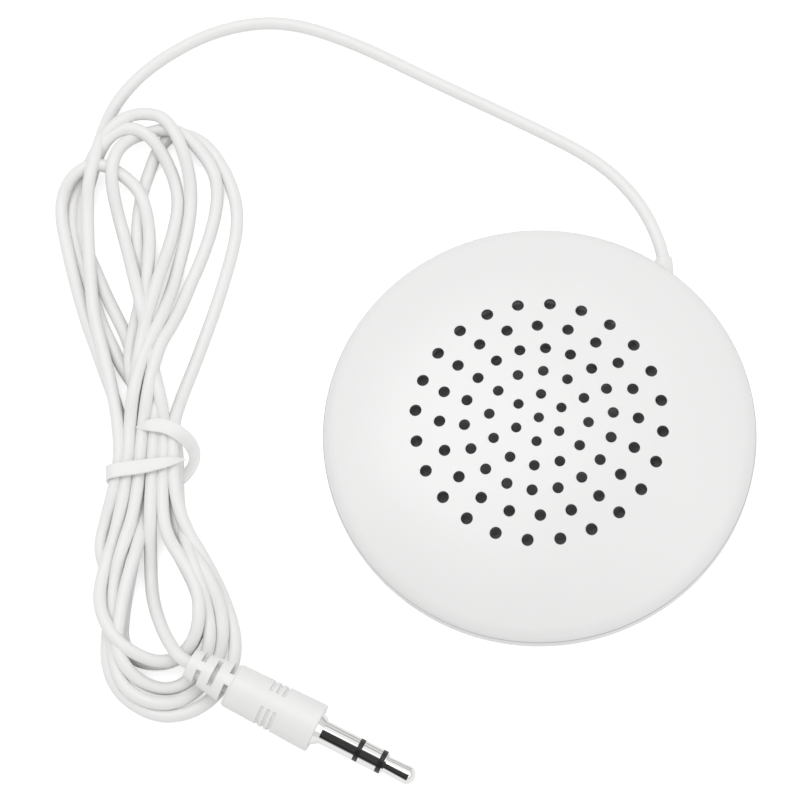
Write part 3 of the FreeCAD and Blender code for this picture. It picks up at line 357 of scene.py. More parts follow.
class Palette:
    """Builds each finish's material once and hands it out."""

    # Painted shade on the shell: a dark line in the seam groove, and darkened walls in the sound
    # holes
    SEAM_SHADE = {"Level": 6.7 * MM, "Reach": 0.14 * MM, "Radius": 31.0 * MM, "Shade": 0.3}
    HOLE_SHADE = {"Centre": -85.8 * MM, "Sphere": 100.0 * MM, "Radius": 19.0 * MM, "Skin": 0.03 * MM,
             "Deep": 0.74 * MM, "Shade": 0.8}
    SCATTER = (1.0, 0.9, 0.8)  # How far each colour scatters, as shares of SCATTER_SCALE
    SCATTER_SCALE = 0.0008
    BEVEL_SAMPLES = 8

    def __init__(self, plug_turn: Matrix) -> None:
        """Build the shared groups.

        Args:
            plug_turn: Rotation from the plug's own axes to the row's.
        """
        self.plug_turn = plug_turn
        self.made: dict[str, bpy.types.Material] = {}
        # The seam and hole groups paint shade into a colour
        self.grain, self.turned, self.seam, self.holes = (
            group().tree for group in (GrainGroup, TurnedGroup, SeamShadeGroup, HoleShadeGroup))

    def material(self, finish: Finish) -> bpy.types.Material:
        """Make or find a finish's material.

        Args:
            finish: The finish.

        Returns:
            A node material.
        """
        if finish.name in self.made:
            return self.made[finish.name]
        material = self.made[finish.name] = bpy.data.materials.new(finish.name)
        material.use_nodes = True
        base = (*finish.colour, 1.0)
        material.diffuse_color = base
        net = Net(material.node_tree)
        place = net.add("ShaderNodeTexCoord")["Object"]
        grain = net.add("ShaderNodeGroup", {
            "Vector": place, "Color": base, "Mottle": finish.mottle, "Spread": finish.spread,
            "Roughness": finish.roughness, "Grain": finish.grain}, node_tree=self.grain)
        colour, height = grain["Color"], grain["Height"]
        # Painted shade: the seam groove's dark line, then the darkened hole walls
        if finish.mark is Mark.SHELL_SHADE:
            for group, values in ((self.seam, self.SEAM_SHADE), (self.holes, self.HOLE_SHADE)):
                colour = net.add("ShaderNodeGroup", {"Vector": place, "Color": colour, **values},
                                 node_tree=group)["Color"]
        elif finish.mark is Mark.TURNED:
            turn = self.plug_turn.transposed().to_euler()
            turned = net.add("ShaderNodeMapping", {"Vector": place, "Rotation": turn})
            height = net.add("ShaderNodeGroup", {"Vector": turned["Vector"]},
                             node_tree=self.turned)["Height"]
        relief = {"Strength": 1.0, "Distance": finish.depth, "Height": height}
        if finish.rounding:
            relief["Normal"] = net.add("ShaderNodeBevel", {"Radius": finish.rounding},
                                       samples=self.BEVEL_SAMPLES)["Normal"]
        net.fill(net.tree.nodes["Principled BSDF"], {
            "Base Color": colour, "Roughness": grain["Roughness"], "Metallic": finish.metallic,
            "Coat Weight": finish.coat, "Specular IOR Level": finish.specular,
            "Subsurface Weight": finish.subsurface, "Subsurface Radius": self.SCATTER,
            "Subsurface Scale": self.SCATTER_SCALE,
            "Normal": net.add("ShaderNodeBump", relief)["Normal"]})
        return material

    def dress(self, node: str, finish: Finish) -> None:
        """Give a CAD node its material.

        Args:
            node: Name of the node.
            finish: Its finish.
        """
        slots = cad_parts[node].data.materials
        material = self.material(finish)
        for index in range(len(slots)):
            slots[index] = material
        if not len(slots):
            slots.append(material)
        LOG.info("dressed %s in %s", node, finish.name)


# Objects


def add_object(name: str, data: bpy.types.ID) -> bpy.types.Object:
    """Make an object and put it in the scene.

    Args:
        name: Name of the object.
        data: Its mesh, curve, lamp or camera.

    Returns:
        The object.
    """
    made = bpy.data.objects.new(name, data)
    bpy.context.scene.collection.objects.link(made)
    return made


def add_spline(name: str, places: list[Vector], steps: int) -> bpy.types.Object:
    """Make a quadratic spline from end to end of its control points.

    Args:
        name: Name of the object.
        places: Control points in metres.
        steps: Steps of the curve for each control point.

    Returns:
        The curve object.
    """
    curve = bpy.data.curves.new(name, "CURVE")
    curve.dimensions = "3D"
    curve.resolution_u = steps
    spline = curve.splines.new("NURBS")
    spline.points.add(len(places) - 1)
    for point, place in zip(spline.points, places):
        point.co = (*place, 1.0)
    spline.order_u = 3
    spline.use_endpoint_u = True
    return add_object(name, curve)


class Rule(Net):
    """A Geometry Nodes tree with named inputs, run once and turned into a plain mesh."""

    def __init__(self, name: str, sizes: tuple[str, ...]) -> None:
        """Make the tree.

        Args:
            name: Name of the tree.
            sizes: Names of the numbers that it takes, besides a geometry and a material.
        """
        super().__init__(bpy.data.node_groups.new(name, "GeometryNodeTree"))
        self.sockets = self.open("INPUT", {
            "Geometry": GEOMETRY, **dict.fromkeys(sizes, FLOAT), "Material": MATERIAL})
        self.open("OUTPUT", {"Geometry": GEOMETRY})
        self.inputs = self.add("NodeGroupInput")

    def finish(self, geometry: Socket) -> None:
        """Smooth, realize and paint the geometry, and put it out.

        Args:
            geometry: The geometry to put out.
        """
        smooth = self.add("GeometryNodeSetShadeSmooth", {"Geometry": geometry})[0]
        real = self.add("GeometryNodeRealizeInstances", {"Geometry": smooth})[0]
        painted = self.add("GeometryNodeSetMaterial", {
            "Geometry": real, "Material": self.inputs["Material"]})[0]
        self.add("NodeGroupOutput", {"Geometry": painted})

    def apply(self, source: bpy.types.Object, name: str, slot: str,
              values: dict[str, object]) -> bpy.types.Object:
        """Run the tree on an object and keep the result as a piece of its own.

        Args:
            source: The object that carries the modifier; it is deleted afterwards.
            name: Name of the new piece.
            slot: Not used.
            values: A value for each named input.

        Returns:
            The new mesh object, on the object's body.
        """
        modifier = source.modifiers.new("rule", "NODES")
        modifier.node_group = self.tree
        for label, value in values.items():
            modifier[self.sockets[label]] = value
        graph = bpy.context.evaluated_depsgraph_get()
        graph.update()
        mesh = bpy.data.meshes.new_from_object(source.evaluated_get(graph), depsgraph=graph)
        mesh.name = name
        source.modifiers.remove(modifier)
        bpy.data.objects.remove(source)
        piece = add_object(name, mesh)
        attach(piece, BODY)
        LOG.info("%s of %d faces", name, len(mesh.polygons))
        return piece


class Spiral(Rule):
    """Rule for a wire or ridge that winds round upright axes, one for each point of the source."""

    STEPS = 48  # Steps of one turn

    def __init__(self, name: str, sides: int) -> None:
        """Make the tree.

        Args:
            name: Name of the tree.
            sides: Sides of the wire's section.
        """
        super().__init__(name, ("Radius", "Turns", "Height", "Wire"))
        radius = self.inputs["Radius"]
        spiral = self.add("GeometryNodeCurveSpiral", {
            "Resolution": self.STEPS, "Start Radius": radius, "End Radius": radius,
            "Rotations": self.inputs["Turns"], "Height": self.inputs["Height"]})[0]
        section = self.add("GeometryNodeCurvePrimitiveCircle", {
            "Resolution": sides, "Radius": self.inputs["Wire"]})[0]
        wire = self.add("GeometryNodeCurveToMesh", {
            "Fill Caps": True, "Curve": spiral, "Profile Curve": section})[0]
        self.finish(self.add("GeometryNodeInstanceOnPoints", {
            "Points": self.inputs["Geometry"], "Instance": wire})[0])

    def wind(self, name: str, slot: str, places: list[Vector], values: dict[str, object]) -> None:
        """Wind one spiral up from each place.

        Args:
            name: Name of the new piece.
            slot: Passed on to apply, which does not use it.
            places: Lowest point of each axis.
            values: A value for each named input.
        """
        mesh = bpy.data.meshes.new(name + "_places")
        mesh.from_pydata(places, [], [])
        self.apply(add_object(mesh.name, mesh), name, slot, values)


# Plug's own axes, as in the part's source


@dataclass
class PlugFrame:
    """Place of the plug: its own Z runs from the tail of the strain relief to the tip.

    Attributes:
        shoulder: Front face of the grip, on the axis.
        heading: Heading from +X in degrees.
        dip: Dip towards the tip in degrees.
        grip_end: Distance from the tail to the shoulder.
    """

    shoulder: Vector = field(default_factory=lambda: Vector((-1.0, -54.1, 3.76)) * MM)
    heading: float = 8.9
    dip: float = 6.0
    grip_end: float = 20.7 * MM

    def way(self) -> Vector:
        """Direction of the tip."""
        turn = math.radians(self.heading)
        dip = math.radians(self.dip)
        level = math.cos(dip)
        return Vector((level * math.cos(turn), level * math.sin(turn), -math.sin(dip)))

    def turn(self) -> Matrix:
        """Rotation from the plug's own axes to the row's."""
        way = self.way()
        side = UP.cross(way).normalized()
        return Matrix((-way.cross(side), -side, way)).transposed()

    def tail(self) -> Vector:
        """Point where the cord enters the strain relief."""
        return self.shoulder - self.way() * self.grip_end


# Cord


@dataclass(frozen=True)
class Run:
    """A stretch of the hank's cord, in millimetres.

    Attributes:
        rank: Order in which it was laid, the lowest first.
        points: Distance of each from the tie towards the hank's top, and its place across.
        height: Height at which the tie holds the cord, or None where it lies free.
    """

    rank: float
    points: tuple[tuple[float, float], ...]
    height: float | None = None


@dataclass
class LaidPoint:
    """A control point of the cord.

    Attributes:
        place: Place in the row frame, in metres.
        rank: Order in which it was laid, the lowest first.
        fixed: True where the height is given and the cord isn't laid by rule.
    """

    place: Vector
    rank: float
    fixed: bool = True


# Heights in millimetres at which the tie holds the cord's two rows of passes
BACK_ROW = 1.25
FRONT_ROW = 3.1

# The cord through the hank, in its own order: each lobe's legs and bend, and its passes of the tie
COURSE = (
    Run(31, ((46.0, -8.1), (41.7, -9.3), (38.0, -9.8), (33.7, -9.9), (29.4, -9.8), (25.1, -9.6),
            (21.5, -9.4), (18.3, -8.9), (15.0, -8.2), (11.6, -7.5), (8.4, -6.9))),
    Run(30, ((4.0, -6.2), (-2.0, -6.0), (-7.1, -6.9)), FRONT_ROW),
    Run(3, ((-11.7, -8.6), (-15.5, -9.4), (-19.0, -8.7), (-22.6, -8.0), (-26.4, -8.3),
            (-30.2, -8.8), (-34.0, -8.6), (-37.4, -7.1), (-39.9, -4.4), (-41.3, -1.4),
            (-41.4, 1.6), (-40.4, 4.6), (-38.2, 7.3), (-35.0, 9.3), (-31.0, 10.0), (-26.8, 9.3),
            (-22.4, 7.8), (-18.0, 5.7), (-14.6, 3.9), (-11.4, 2.7))),
    Run(30, ((-7.4, 2.0), (-2.0, 1.9), (2.6, 2.2)), FRONT_ROW),
    Run(18, ((7.4, 3.5), (11.4, 5.2), (15.4, 6.8))),
    Run(10, ((20.0, 8.6), (24.7, 10.2), (29.6, 11.7), (34.2, 12.6), (38.4, 12.4), (42.4, 11.2),
            (45.7, 9.5), (48.1, 7.4), (49.3, 4.9), (48.9, 2.6), (46.6, 0.8), (43.2, -0.6),
            (39.4, -1.8), (35.0, -2.5), (30.4, -2.5), (26.0, -2.1), (22.4, -2.5))),
    Run(1.5, ((18.5, -3.2), (15.0, -3.9), (11.4, -4.1), (7.6, -3.4))),
    Run(1, ((3.0, -1.6), (-2.0, -1.4), (-7.4, -1.0)), BACK_ROW),
    Run(1, ((-12.0, 0.2), (-16.0, 1.5))),
    Run(2, ((-19.6, 3.2), (-23.2, 4.6), (-26.6, 5.0), (-29.6, 4.4), (-32.0, 2.8), (-33.4, 0.4),
            (-33.5, -2.4), (-32.4, -5.0), (-29.6, -6.4), (-26.0, -6.2), (-22.2, -5.5),
            (-18.6, -4.5))),
    Run(1, ((-14.6, -3.9), (-10.8, -4.3))),
    Run(1, ((-7.3, -4.8), (-2.0, -5.0), (3.0, -5.6)), BACK_ROW),
    Run(1, ((7.6, -6.8), (11.6, -8.1), (15.6, -9.3), (19.6, -10.6))),
    Run(11, ((23.6, -11.6), (27.8, -12.5), (32.2, -13.3), (36.2, -13.9), (39.6, -13.7),
            (42.2, -12.3), (43.9, -9.8), (43.9, -7.0), (42.6, -4.5), (40.2, -2.3), (37.0, -1.1),
            (33.0, -0.7), (28.6, -0.9), (24.2, -1.4))),
    Run(17, ((19.6, -1.6), (15.0, -1.3), (10.6, -0.5), (6.6, 0.4))),
    Run(30, ((2.8, 0.8), (-2.2, 0.6), (-7.5, 0.2)), FRONT_ROW),
    Run(30, ((-12.3, 0.2), (-15.2, 0.9))),
    Run(6, ((-18.2, 2.4), (-21.2, 4.0), (-24.2, 5.0), (-27.4, 5.1), (-30.2, 4.4), (-32.4, 2.8),
            (-33.6, 0.7), (-33.6, -1.9), (-32.4, -4.7), (-30.4, -7.0), (-27.6, -8.6),
            (-24.6, -9.4), (-21.4, -9.2), (-18.0, -8.3))),
    Run(30, ((-14.8, -7.3), (-11.6, -6.4))),
    Run(30, ((-7.2, -5.3), (-2.1, -4.7), (2.6, -4.3)), FRONT_ROW),
    Run(29, ((6.4, -3.7), (10.2, -2.7), (13.6, -1.5), (17.0, 0.2))),
    Run(14, ((20.6, 1.5), (24.5, 2.6), (28.9, 3.8), (33.4, 5.0), (37.8, 5.7), (41.8, 5.7),
            (45.4, 5.0), (48.6, 3.8), (51.1, 2.0), (52.1, -0.4), (51.6, -3.0), (49.8, -5.8))),
    Run(9, ((47.0, -8.2), (43.8, -10.2), (40.4, -11.7), (36.6, -12.4), (32.6, -12.0),
            (28.6, -10.9), (25.0, -9.9), (21.7, -9.1))),
    Run(1, ((18.4, -8.0), (15.4, -6.7), (12.1, -5.3), (8.6, -3.0), (6.0, -0.6))),
    Run(1, ((2.6, 1.8), (-2.0, 2.4), (-7.4, 2.3)), BACK_ROW),
    Run(1, ((-12.0, 2.5), (-16.4, 3.5))),
    Run(5, ((-20.0, 4.6), (-23.6, 5.6), (-27.2, 6.3), (-30.6, 6.4), (-33.6, 5.5), (-35.9, 3.6),
            (-37.2, 1.4), (-37.4, -1.2), (-36.4, -3.8), (-34.4, -5.8), (-31.6, -6.9),
            (-28.4, -6.7), (-25.0, -6.1), (-21.4, -5.2), (-18.0, -4.1))),
    Run(1, ((-14.8, -3.4), (-11.4, -3.1))),
    Run(1, ((-7.3, -3.1), (-2.0, -3.2), (3.4, -3.8)), BACK_ROW),
    Run(28, ((7.0, -3.6), (10.6, -3.0), (14.4, -2.2), (18.2, -1.4))),
    Run(13, ((22.0, -0.4), (26.0, 0.8), (30.2, 2.0), (34.4, 3.1), (38.2, 3.7), (41.6, 3.3),
            (44.9, 2.1), (47.7, 0.3), (49.4, -2.0), (49.5, -4.4), (48.0, -6.7))),
    Run(9, ((45.3, -8.4), (42.0, -9.6), (38.6, -10.7), (35.0, -10.9), (31.4, -10.3), (27.6, -8.9),
            (24.0, -7.6))),
    Run(1, ((20.6, -6.1), (17.4, -4.8), (14.1, -3.8), (10.4, -2.6), (6.8, -1.0))),
    Run(1, ((2.8, 0.1), (-2.0, 0.5), (-7.4, 0.8)), BACK_ROW),
    Run(1, ((-12.0, 1.7), (-16.0, 3.4))),
    Run(4, ((-19.6, 5.4), (-23.0, 7.1), (-26.4, 8.1), (-29.8, 8.3), (-33.0, 7.5), (-35.9, 5.9),
            (-38.2, 3.7), (-39.6, 1.2), (-39.8, -1.4), (-38.9, -4.0), (-37.0, -6.2),
            (-34.0, -7.4), (-30.6, -7.7), (-27.2, -7.6), (-24.0, -7.5), (-20.8, -7.1),
            (-18.0, -6.4))),
    Run(30, ((-14.8, -5.3), (-11.6, -4.3))),
    Run(30, ((-7.3, -3.4), (-2.2, -2.9), (2.5, -2.3)), FRONT_ROW),
    Run(29, ((6.6, -1.5), (10.7, -0.5), (14.6, 0.8), (18.0, 2.5))),
    Run(12, ((21.4, 3.9), (24.8, 5.2), (28.6, 6.9), (33.2, 8.6), (37.5, 9.6), (41.2, 9.7),
            (44.2, 8.6), (46.8, 6.8), (48.7, 5.0), (49.6, 2.6), (49.5, -0.2), (48.3, -2.9),
            (46.0, -4.9), (42.6, -5.9), (38.6, -5.7), (34.4, -4.9), (29.8, -3.9), (25.4, -3.0))),
    Run(16, ((21.4, -2.1), (17.6, -1.5), (13.6, -1.0), (10.0, -0.5), (6.6, -0.3))),
    Run(30, ((2.6, -0.5), (-2.2, -1.0), (-7.4, -1.4)), FRONT_ROW),
    Run(32, ((-12.2, -1.7), (-16.6, -1.9), (-20.6, -2.0), (-24.2, -1.7), (-27.4, -0.9),
            (-30.2, 0.1), (-32.4, 1.2))),
)


@dataclass
class Cord:
    """The whole cord, from the collar in the rim through the hank to the plug.

    Attributes:
        palette: Materials.
        plug: Place of the plug.
        diameter: Diameter of the cord.
        length: Real length of the cord. Not used.
        waist: Place of the tie on the table.
        heading: Heading from the hank's top to its bottom, from +X in degrees.
        nest: How near two strands' middles come in plan before one rests on the other, in
            diameters.
        steepest: Steepest rise where the cord climbs over itself.
        firm: Height over which the stack's upper layers are squeezed.
        squeeze: Share of their height that those layers keep.
        EXIT: Where the cord leaves the collar, in millimetres.
        START: End of the collar's straight run.
        ROUTE: Route of the free lead, as in the part's source.
        TAIL_RUN: Straight run into the strain relief, in millimetres.
        TAIL_RANK: Order in which the plug's end was laid.
        SPAN: Steps of the curve that one control point governs.
        NEIGHBOURS: A control point never rests on one that is nearer than this along the cord.
        PASSES: How often the humps are eased.
    """

    palette: Palette
    plug: PlugFrame
    diameter: float = 1.94 * MM
    length: float = 1.17
    waist: Vector = field(default_factory=lambda: Vector((-46.11, -32.26, 0.0)) * MM)
    heading: float = -51.3
    nest: float = 0.93
    steepest: float = 0.4
    firm: float = 3.6 * MM
    squeeze: float = 0.4

    EXIT = (-0.974, 33.550, 4.3)
    START = (-3.236, 35.813, 4.3)
    ROUTE = (
        (-10.1, 39.6, 3.8), (-18.9, 41.5, 2.6), (-31.6, 40.5, 1.25), (-46.3, 38.4, 0.97),
        (-60.9, 36.6, 1.0), (-72.1, 33.3, 1.0), (-79.6, 26.1, 0.97), (-83.9, 16.6, 0.98),
        (-84.9, 9.6, 1.1), (-84.1, 4.6, 1.6),
    )
    TAIL_RUN = 1.6
    TAIL_RANK = 33
    SPAN = 6
    NEIGHBOURS = 4
    PASSES = 3

    def local(self, along: float, across: float, height: float) -> Vector:
        """Turn hank coordinates into the row frame.

        Args:
            along: Distance from the tie towards the hank's top, in millimetres.
            across: Place across the hank, in millimetres.
            height: Height in millimetres.

        Returns:
            The point in metres.
        """
        turn = math.radians(self.heading)
        down = Vector((math.cos(turn), math.sin(turn), 0.0))
        side = Vector((-down.y, down.x, 0.0))
        return self.waist - down * along * MM + side * across * MM + UP * height * MM

    def run(self, run: Run) -> list[LaidPoint]:
        """Control points of a stretch, set a little outside its bends so that the curve meets them.

        A quadratic spline passes a bend's control point by an eighth of the turn, so that is added.

        Args:
            run: The stretch.

        Returns:
            Control points in the cord's order.
        """
        places = [self.local(*point, run.height or 0.0) for point in run.points]
        found = []
        for index, place in enumerate(places):
            shift = Vector((0.0, 0.0, 0.0))
            if 0 < index < len(places) - 1:
                shift = (place * 2 - places[index - 1] - places[index + 1]) / 8
                shift.z = 0.0
            found.append(LaidPoint(place + shift, run.rank, fixed=run.height is not None))
        return found

    def lay(self) -> list[LaidPoint]:
        """Lay the stretches one on another, as a hand would, and find each point's height.

        Returns:
            Control points in the cord's order.
        """
        tail = self.plug.tail()
        lead = (self.EXIT, self.START, *self.ROUTE)
        points = [LaidPoint(Vector(point) * MM, 0) for point in lead]
        points += [point for run in COURSE for point in self.run(run)]
        points += [LaidPoint(tail - self.plug.way() * self.TAIL_RUN * MM, self.TAIL_RANK),
                   LaidPoint(tail, self.TAIL_RANK)]
        laid: list[tuple[int, Vector]] = []
        for rank in sorted({point.rank for point in points}):
            members = [index for index, point in enumerate(points) if point.rank == rank]
            for index in members:
                if not points[index].fixed:
                    points[index].place.z = self.resting_height(index, points, laid)
            self.ease(members, points)
            laid += [(index, sample) for index in members
                     for sample in self.samples(index, points)]
        self.ease(list(range(len(points))), points)
        return points

    def samples(self, index: int, points: list[LaidPoint]) -> list[Vector]:
        """Points of the curve that one control point governs.

        Args:
            index: Number of the control point.
            points: All control points.

        Returns:
            Points on the quadratic spline, all at the control point's height.
        """
        before = points[max(index - 1, 0)].place
        here = points[index].place
        after = points[min(index + 1, len(points) - 1)].place
        found = []
        for step in range(self.SPAN + 1):
            share = step / self.SPAN
            point = (before * (0.5 * (1 - share) ** 2) + here * (0.5 + share - share * share)
                     + after * (0.5 * share * share))
            found.append(Vector((point.x, point.y, here.z)))
        return found

    def resting_height(self, index: int, points: list[LaidPoint],
                       laid: list[tuple[int, Vector]]) -> float:
        """Height at which the cord rests on what was laid before.

        Args:
            index: Number of the control point.
            points: All control points.
            laid: Curve points that lie there already, with their control points' numbers.

        Returns:
            The height in metres.
        """
        height = self.diameter / 2
        reach = self.diameter * self.nest
        for sample in self.samples(index, points):
            for other, below in laid:
                gap = math.hypot(sample.x - below.x, sample.y - below.y)
                if gap < reach and abs(other - index) >= self.NEIGHBOURS:
                    height = max(height, below.z + math.sqrt(reach * reach - gap * gap))
        return min(height, self.firm + (height - self.firm) * self.squeeze)

    def ease(self, members: list[int], points: list[LaidPoint]) -> None:
        """Turn steps into long low humps.

        Args:
            members: Numbers of the control points to ease.
            points: All control points, whose heights are raised where they aren't fixed.
        """
        for _ in range(self.PASSES):
            for order in (members, members[::-1]):
                for here, there in zip(order, order[1:]):
                    if points[there].fixed or abs(here - there) > 1:
                        continue
                    low, high = points[there].place, points[here].place
                    low.z = max(low.z, high.z - self.steepest * (high - low).xy.length)

    def build(self) -> bpy.types.Object:
        """Make the cord and put it in the frame.

        Returns:
            The cord's curve object.
        """
        places = [point.place for point in self.lay()]
        piece = add_spline("cord_line", places, steps=8)
        curve = piece.data
        curve.bevel_depth = self.diameter / 2
        curve.bevel_resolution = 7
        curve.use_fill_caps = True
        curve.materials.append(self.palette.material(CORD_JACKET))
        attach(piece, BODY)
        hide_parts("cord_lead", "cord_hank")
        LOG.info("cord of %d control points, highest %.1f mm", len(places),
                 max(place.z for place in places) / MM)
        return piece


@dataclass(frozen=True)
class Wrap:
    """A point of the tie, in the hank's own millimetres.

    Attributes:
        along: Distance from the tie towards the hank's top.
        across: Place across.
        height: Height of the band's middle.
        lean: Turn of the band about its own line, in degrees, from a frame that twists as little
            as it can. Under the hank the band lies flat at about 60, and over its second pass at
            about 74.
        share: Share of the band's full width.
    """

    along: float
    across: float
    height: float
    lean: float = 0.0
    share: float = 1.0


@dataclass
class Ribbon:
    """The flat tie round the hank's waist.

    Attributes:
        palette: Materials.
        cord: The cord that it ties.
        width: Width of the band.
        thickness: Thickness of the band.
        rounding: Radius of its edges as a share of the thickness.
        WRAPS: Its way over the hank, round its right side, under it and over it again.
    """

    palette: Palette
    cord: Cord
    width: float = 2.2 * MM
    thickness: float = 0.45 * MM
    rounding: float = 0.4

    WRAPS = (
        Wrap(1.9, -3.4, 3.7, 0.0, 0.1), Wrap(1.85, -2.3, 4.45, 0.0, 0.6),
        Wrap(1.8, -0.8, 4.75, 0.0, 0.95), Wrap(1.6, 0.7, 4.8), Wrap(1.0, 2.0, 4.8),
        Wrap(0.2, 3.3, 4.6, 10.0), Wrap(-0.9, 4.6, 3.8, 35.0), Wrap(-2.6, 5.3, 2.9, 60.0),
        Wrap(-4.4, 4.7, 2.3, 76.0), Wrap(-5.5, 3.4, 1.5, 72.0), Wrap(-6.0, 1.7, 0.5, 60.0),
        Wrap(-5.9, -1.4, 0.4, 58.0), Wrap(-5.6, -4.8, 0.4, 58.0), Wrap(-5.2, -6.8, 0.7, 60.0),
        Wrap(-5.0, -7.8, 1.8, 66.0), Wrap(-4.9, -7.9, 3.3, 70.0), Wrap(-4.9, -7.5, 4.5, 73.0),
        Wrap(-4.8, -6.0, 4.8, 74.0), Wrap(-4.6, -2.9, 4.75, 74.0),
        Wrap(-4.3, -0.6, 4.75, 74.0, 0.9), Wrap(-4.0, 1.5, 4.7, 74.0, 0.7),
        Wrap(-3.7, 2.9, 4.3, 74.0, 0.4), Wrap(-3.5, 3.9, 3.6, 74.0, 0.1),
    )

    def line(self) -> bpy.types.Object:
        """The band's middle line, with its lean as tilt and its share as radius.

        Returns:
            A curve object.
        """
        places = [self.cord.local(wrap.along, wrap.across, wrap.height) for wrap in self.WRAPS]
        line = add_spline("tie_line", places, steps=10)
        line.data.twist_mode = "MINIMUM"
        for point, wrap in zip(line.data.splines[0].points, self.WRAPS):
            point.tilt = math.radians(wrap.lean)
            point.radius = wrap.share
        return line

    def build(self) -> bpy.types.Object:
        """Sweep the band's section along its line.

        Returns:
            The ribbon's mesh object.
        """
        rule = Rule("Band along a line", ("Width", "Thickness"))
        section = rule.add("GeometryNodeCurvePrimitiveQuadrilateral", {
            "Width": rule.inputs["Width"], "Height": rule.inputs["Thickness"]})[0]
        soft = rule.add("GeometryNodeFilletCurve", {
            "Curve": section, "Count": 3, "Radius": self.thickness * self.rounding}, mode="POLY")[0]
        rule.finish(rule.add("GeometryNodeCurveToMesh", {
            "Curve": rule.inputs["Geometry"], "Profile Curve": soft, "Fill Caps": True,
            "Scale": rule.add("GeometryNodeInputRadius")[0]})[0])
        return rule.apply(self.line(), "tie_ribbon", "cord_white", {
            "Width": self.width, "Thickness": self.thickness,
            "Material": self.palette.material(CORD_JACKET)})


# Rigid sub-assemblies


@dataclass
class Assembly:
    """Pieces of the CAD model that are dressed together.

    Attributes:
        palette: Materials.
        FINISHES: Finish of each piece, by the name of its node.
    """

    palette: Palette

    FINISHES = {}

    def build(self) -> None:
        """Dress every piece."""
        for node, finish in self.FINISHES.items():
            self.palette.dress(node, finish)


@dataclass
class Housing(Assembly):
    """The two shells with their screws and the cord's collar.

    Attributes:
        screws: Number of case screws.
        screw_circle: Distance of the screws from the housing's axis.
        first_screw: Angle of the first screw in degrees.
        shank: Radius of a screw's shank.
        thread_low: Height at which the threads begin.
        thread_run: Height of the threads.
        thread_turns: Turns of each thread.
        thread_ridge: Height of the thread's ridge over the shank.
    """

    screws: int = 3
    screw_circle: float = 24.496 * MM
    first_screw: float = 30.0
    shank: float = 0.95 * MM
    thread_low: float = 4.8 * MM
    thread_run: float = 2.4 * MM
    thread_turns: float = 4.0
    thread_ridge: float = 0.09 * MM

    FINISHES = {"front_shell": WHITE_SHELL, "rear_shell": WHITE_SHELL,
                "case_screws": SCREW_STEEL, "cord_grommet": GRIP_MOULD}

    def build(self) -> None:
        """Dress the pieces and wind the threads round the screws' shanks."""
        super().build()
        turns = [math.radians(self.first_screw + 360.0 * index / self.screws)
                 for index in range(self.screws)]
        places = [Vector((self.screw_circle * math.cos(turn), self.screw_circle * math.sin(turn),
                          self.thread_low)) for turn in turns]
        Spiral("Thread round a shank", sides=3).wind("screw_threads", "screw_steel", places, {
            "Radius": self.shank, "Turns": self.thread_turns, "Height": self.thread_run,
            "Wire": self.thread_ridge, "Material": self.palette.material(SCREW_STEEL)})


@dataclass
class Driver(Assembly):
    """The small loudspeaker inside, with its wires.

    Attributes:
        coil_radius: Outer radius of the voice coil's former.
        coil_low: Height at which the wire begins.
        coil_run: Height of the winding.
        coil_turns: Turns of wire.
        wire: Radius of the wire.
        wire_seat: Distance of the wire's middle from the former, in its radius.
    """

    coil_radius: float = 6.95 * MM
    coil_low: float = 5.05 * MM
    coil_run: float = 1.8 * MM
    coil_turns: float = 16.0
    wire: float = 0.055 * MM
    wire_seat: float = 0.8

    FINISHES = {"driver_gasket": GASKET_FOAM, "driver_diaphragm": FILM,
                "driver_voice_coil": COPPER, "driver_basket": PRESSED_STEEL,
                "driver_yoke": PRESSED_STEEL, "driver_magnet": MAGNET,
                "driver_pole_plate": PRESSED_STEEL, "driver_terminal_board": BOARD,
                "solder_joints": SOLDER, "lead_positive": WIRE_RED, "lead_negative": WIRE_BLACK,
                "cord_inner_run": CORD_JACKET}

    def build(self) -> None:
        """Dress the pieces and wind the copper wire round the voice coil."""
        super().build()
        place = Vector((0.0, 0.0, self.coil_low))
        Spiral("Wire round a former", sides=6).wind("coil_winding", "copper_wire", [place], {
            "Radius": self.coil_radius + self.wire * self.wire_seat, "Turns": self.coil_turns,
            "Height": self.coil_run, "Wire": self.wire,
            "Material": self.palette.material(COPPER)})


@dataclass
class Plug(Assembly):
    """The moulded plug with its contacts."""

    FINISHES = {"plug_grip": GRIP_MOULD, "cord_plug_end": CORD_JACKET,
                "plug_inner_mould": INNER_MOULD, "plug_sleeve": CONTACT,
                "plug_ring_contact": CONTACT, "plug_tip": CONTACT,
                "plug_insulator_rear": INSULATOR, "plug_insulator_front": INSULATOR}


# Studio


@dataclass(frozen=True)
class Lamp:
    """A square lamp that points at the object.

    Attributes:
        name: Name of the lamp.
        right: How far it stands to the picture's right, as a share of its whole way.
        up: How far it stands to the picture's top.
        back: How far it stands towards the camera.
        power: Power in watts.
        size: Width in metres.
    """

    name: str
    right: float
    up: float
    back: float
    power: float
    size: float


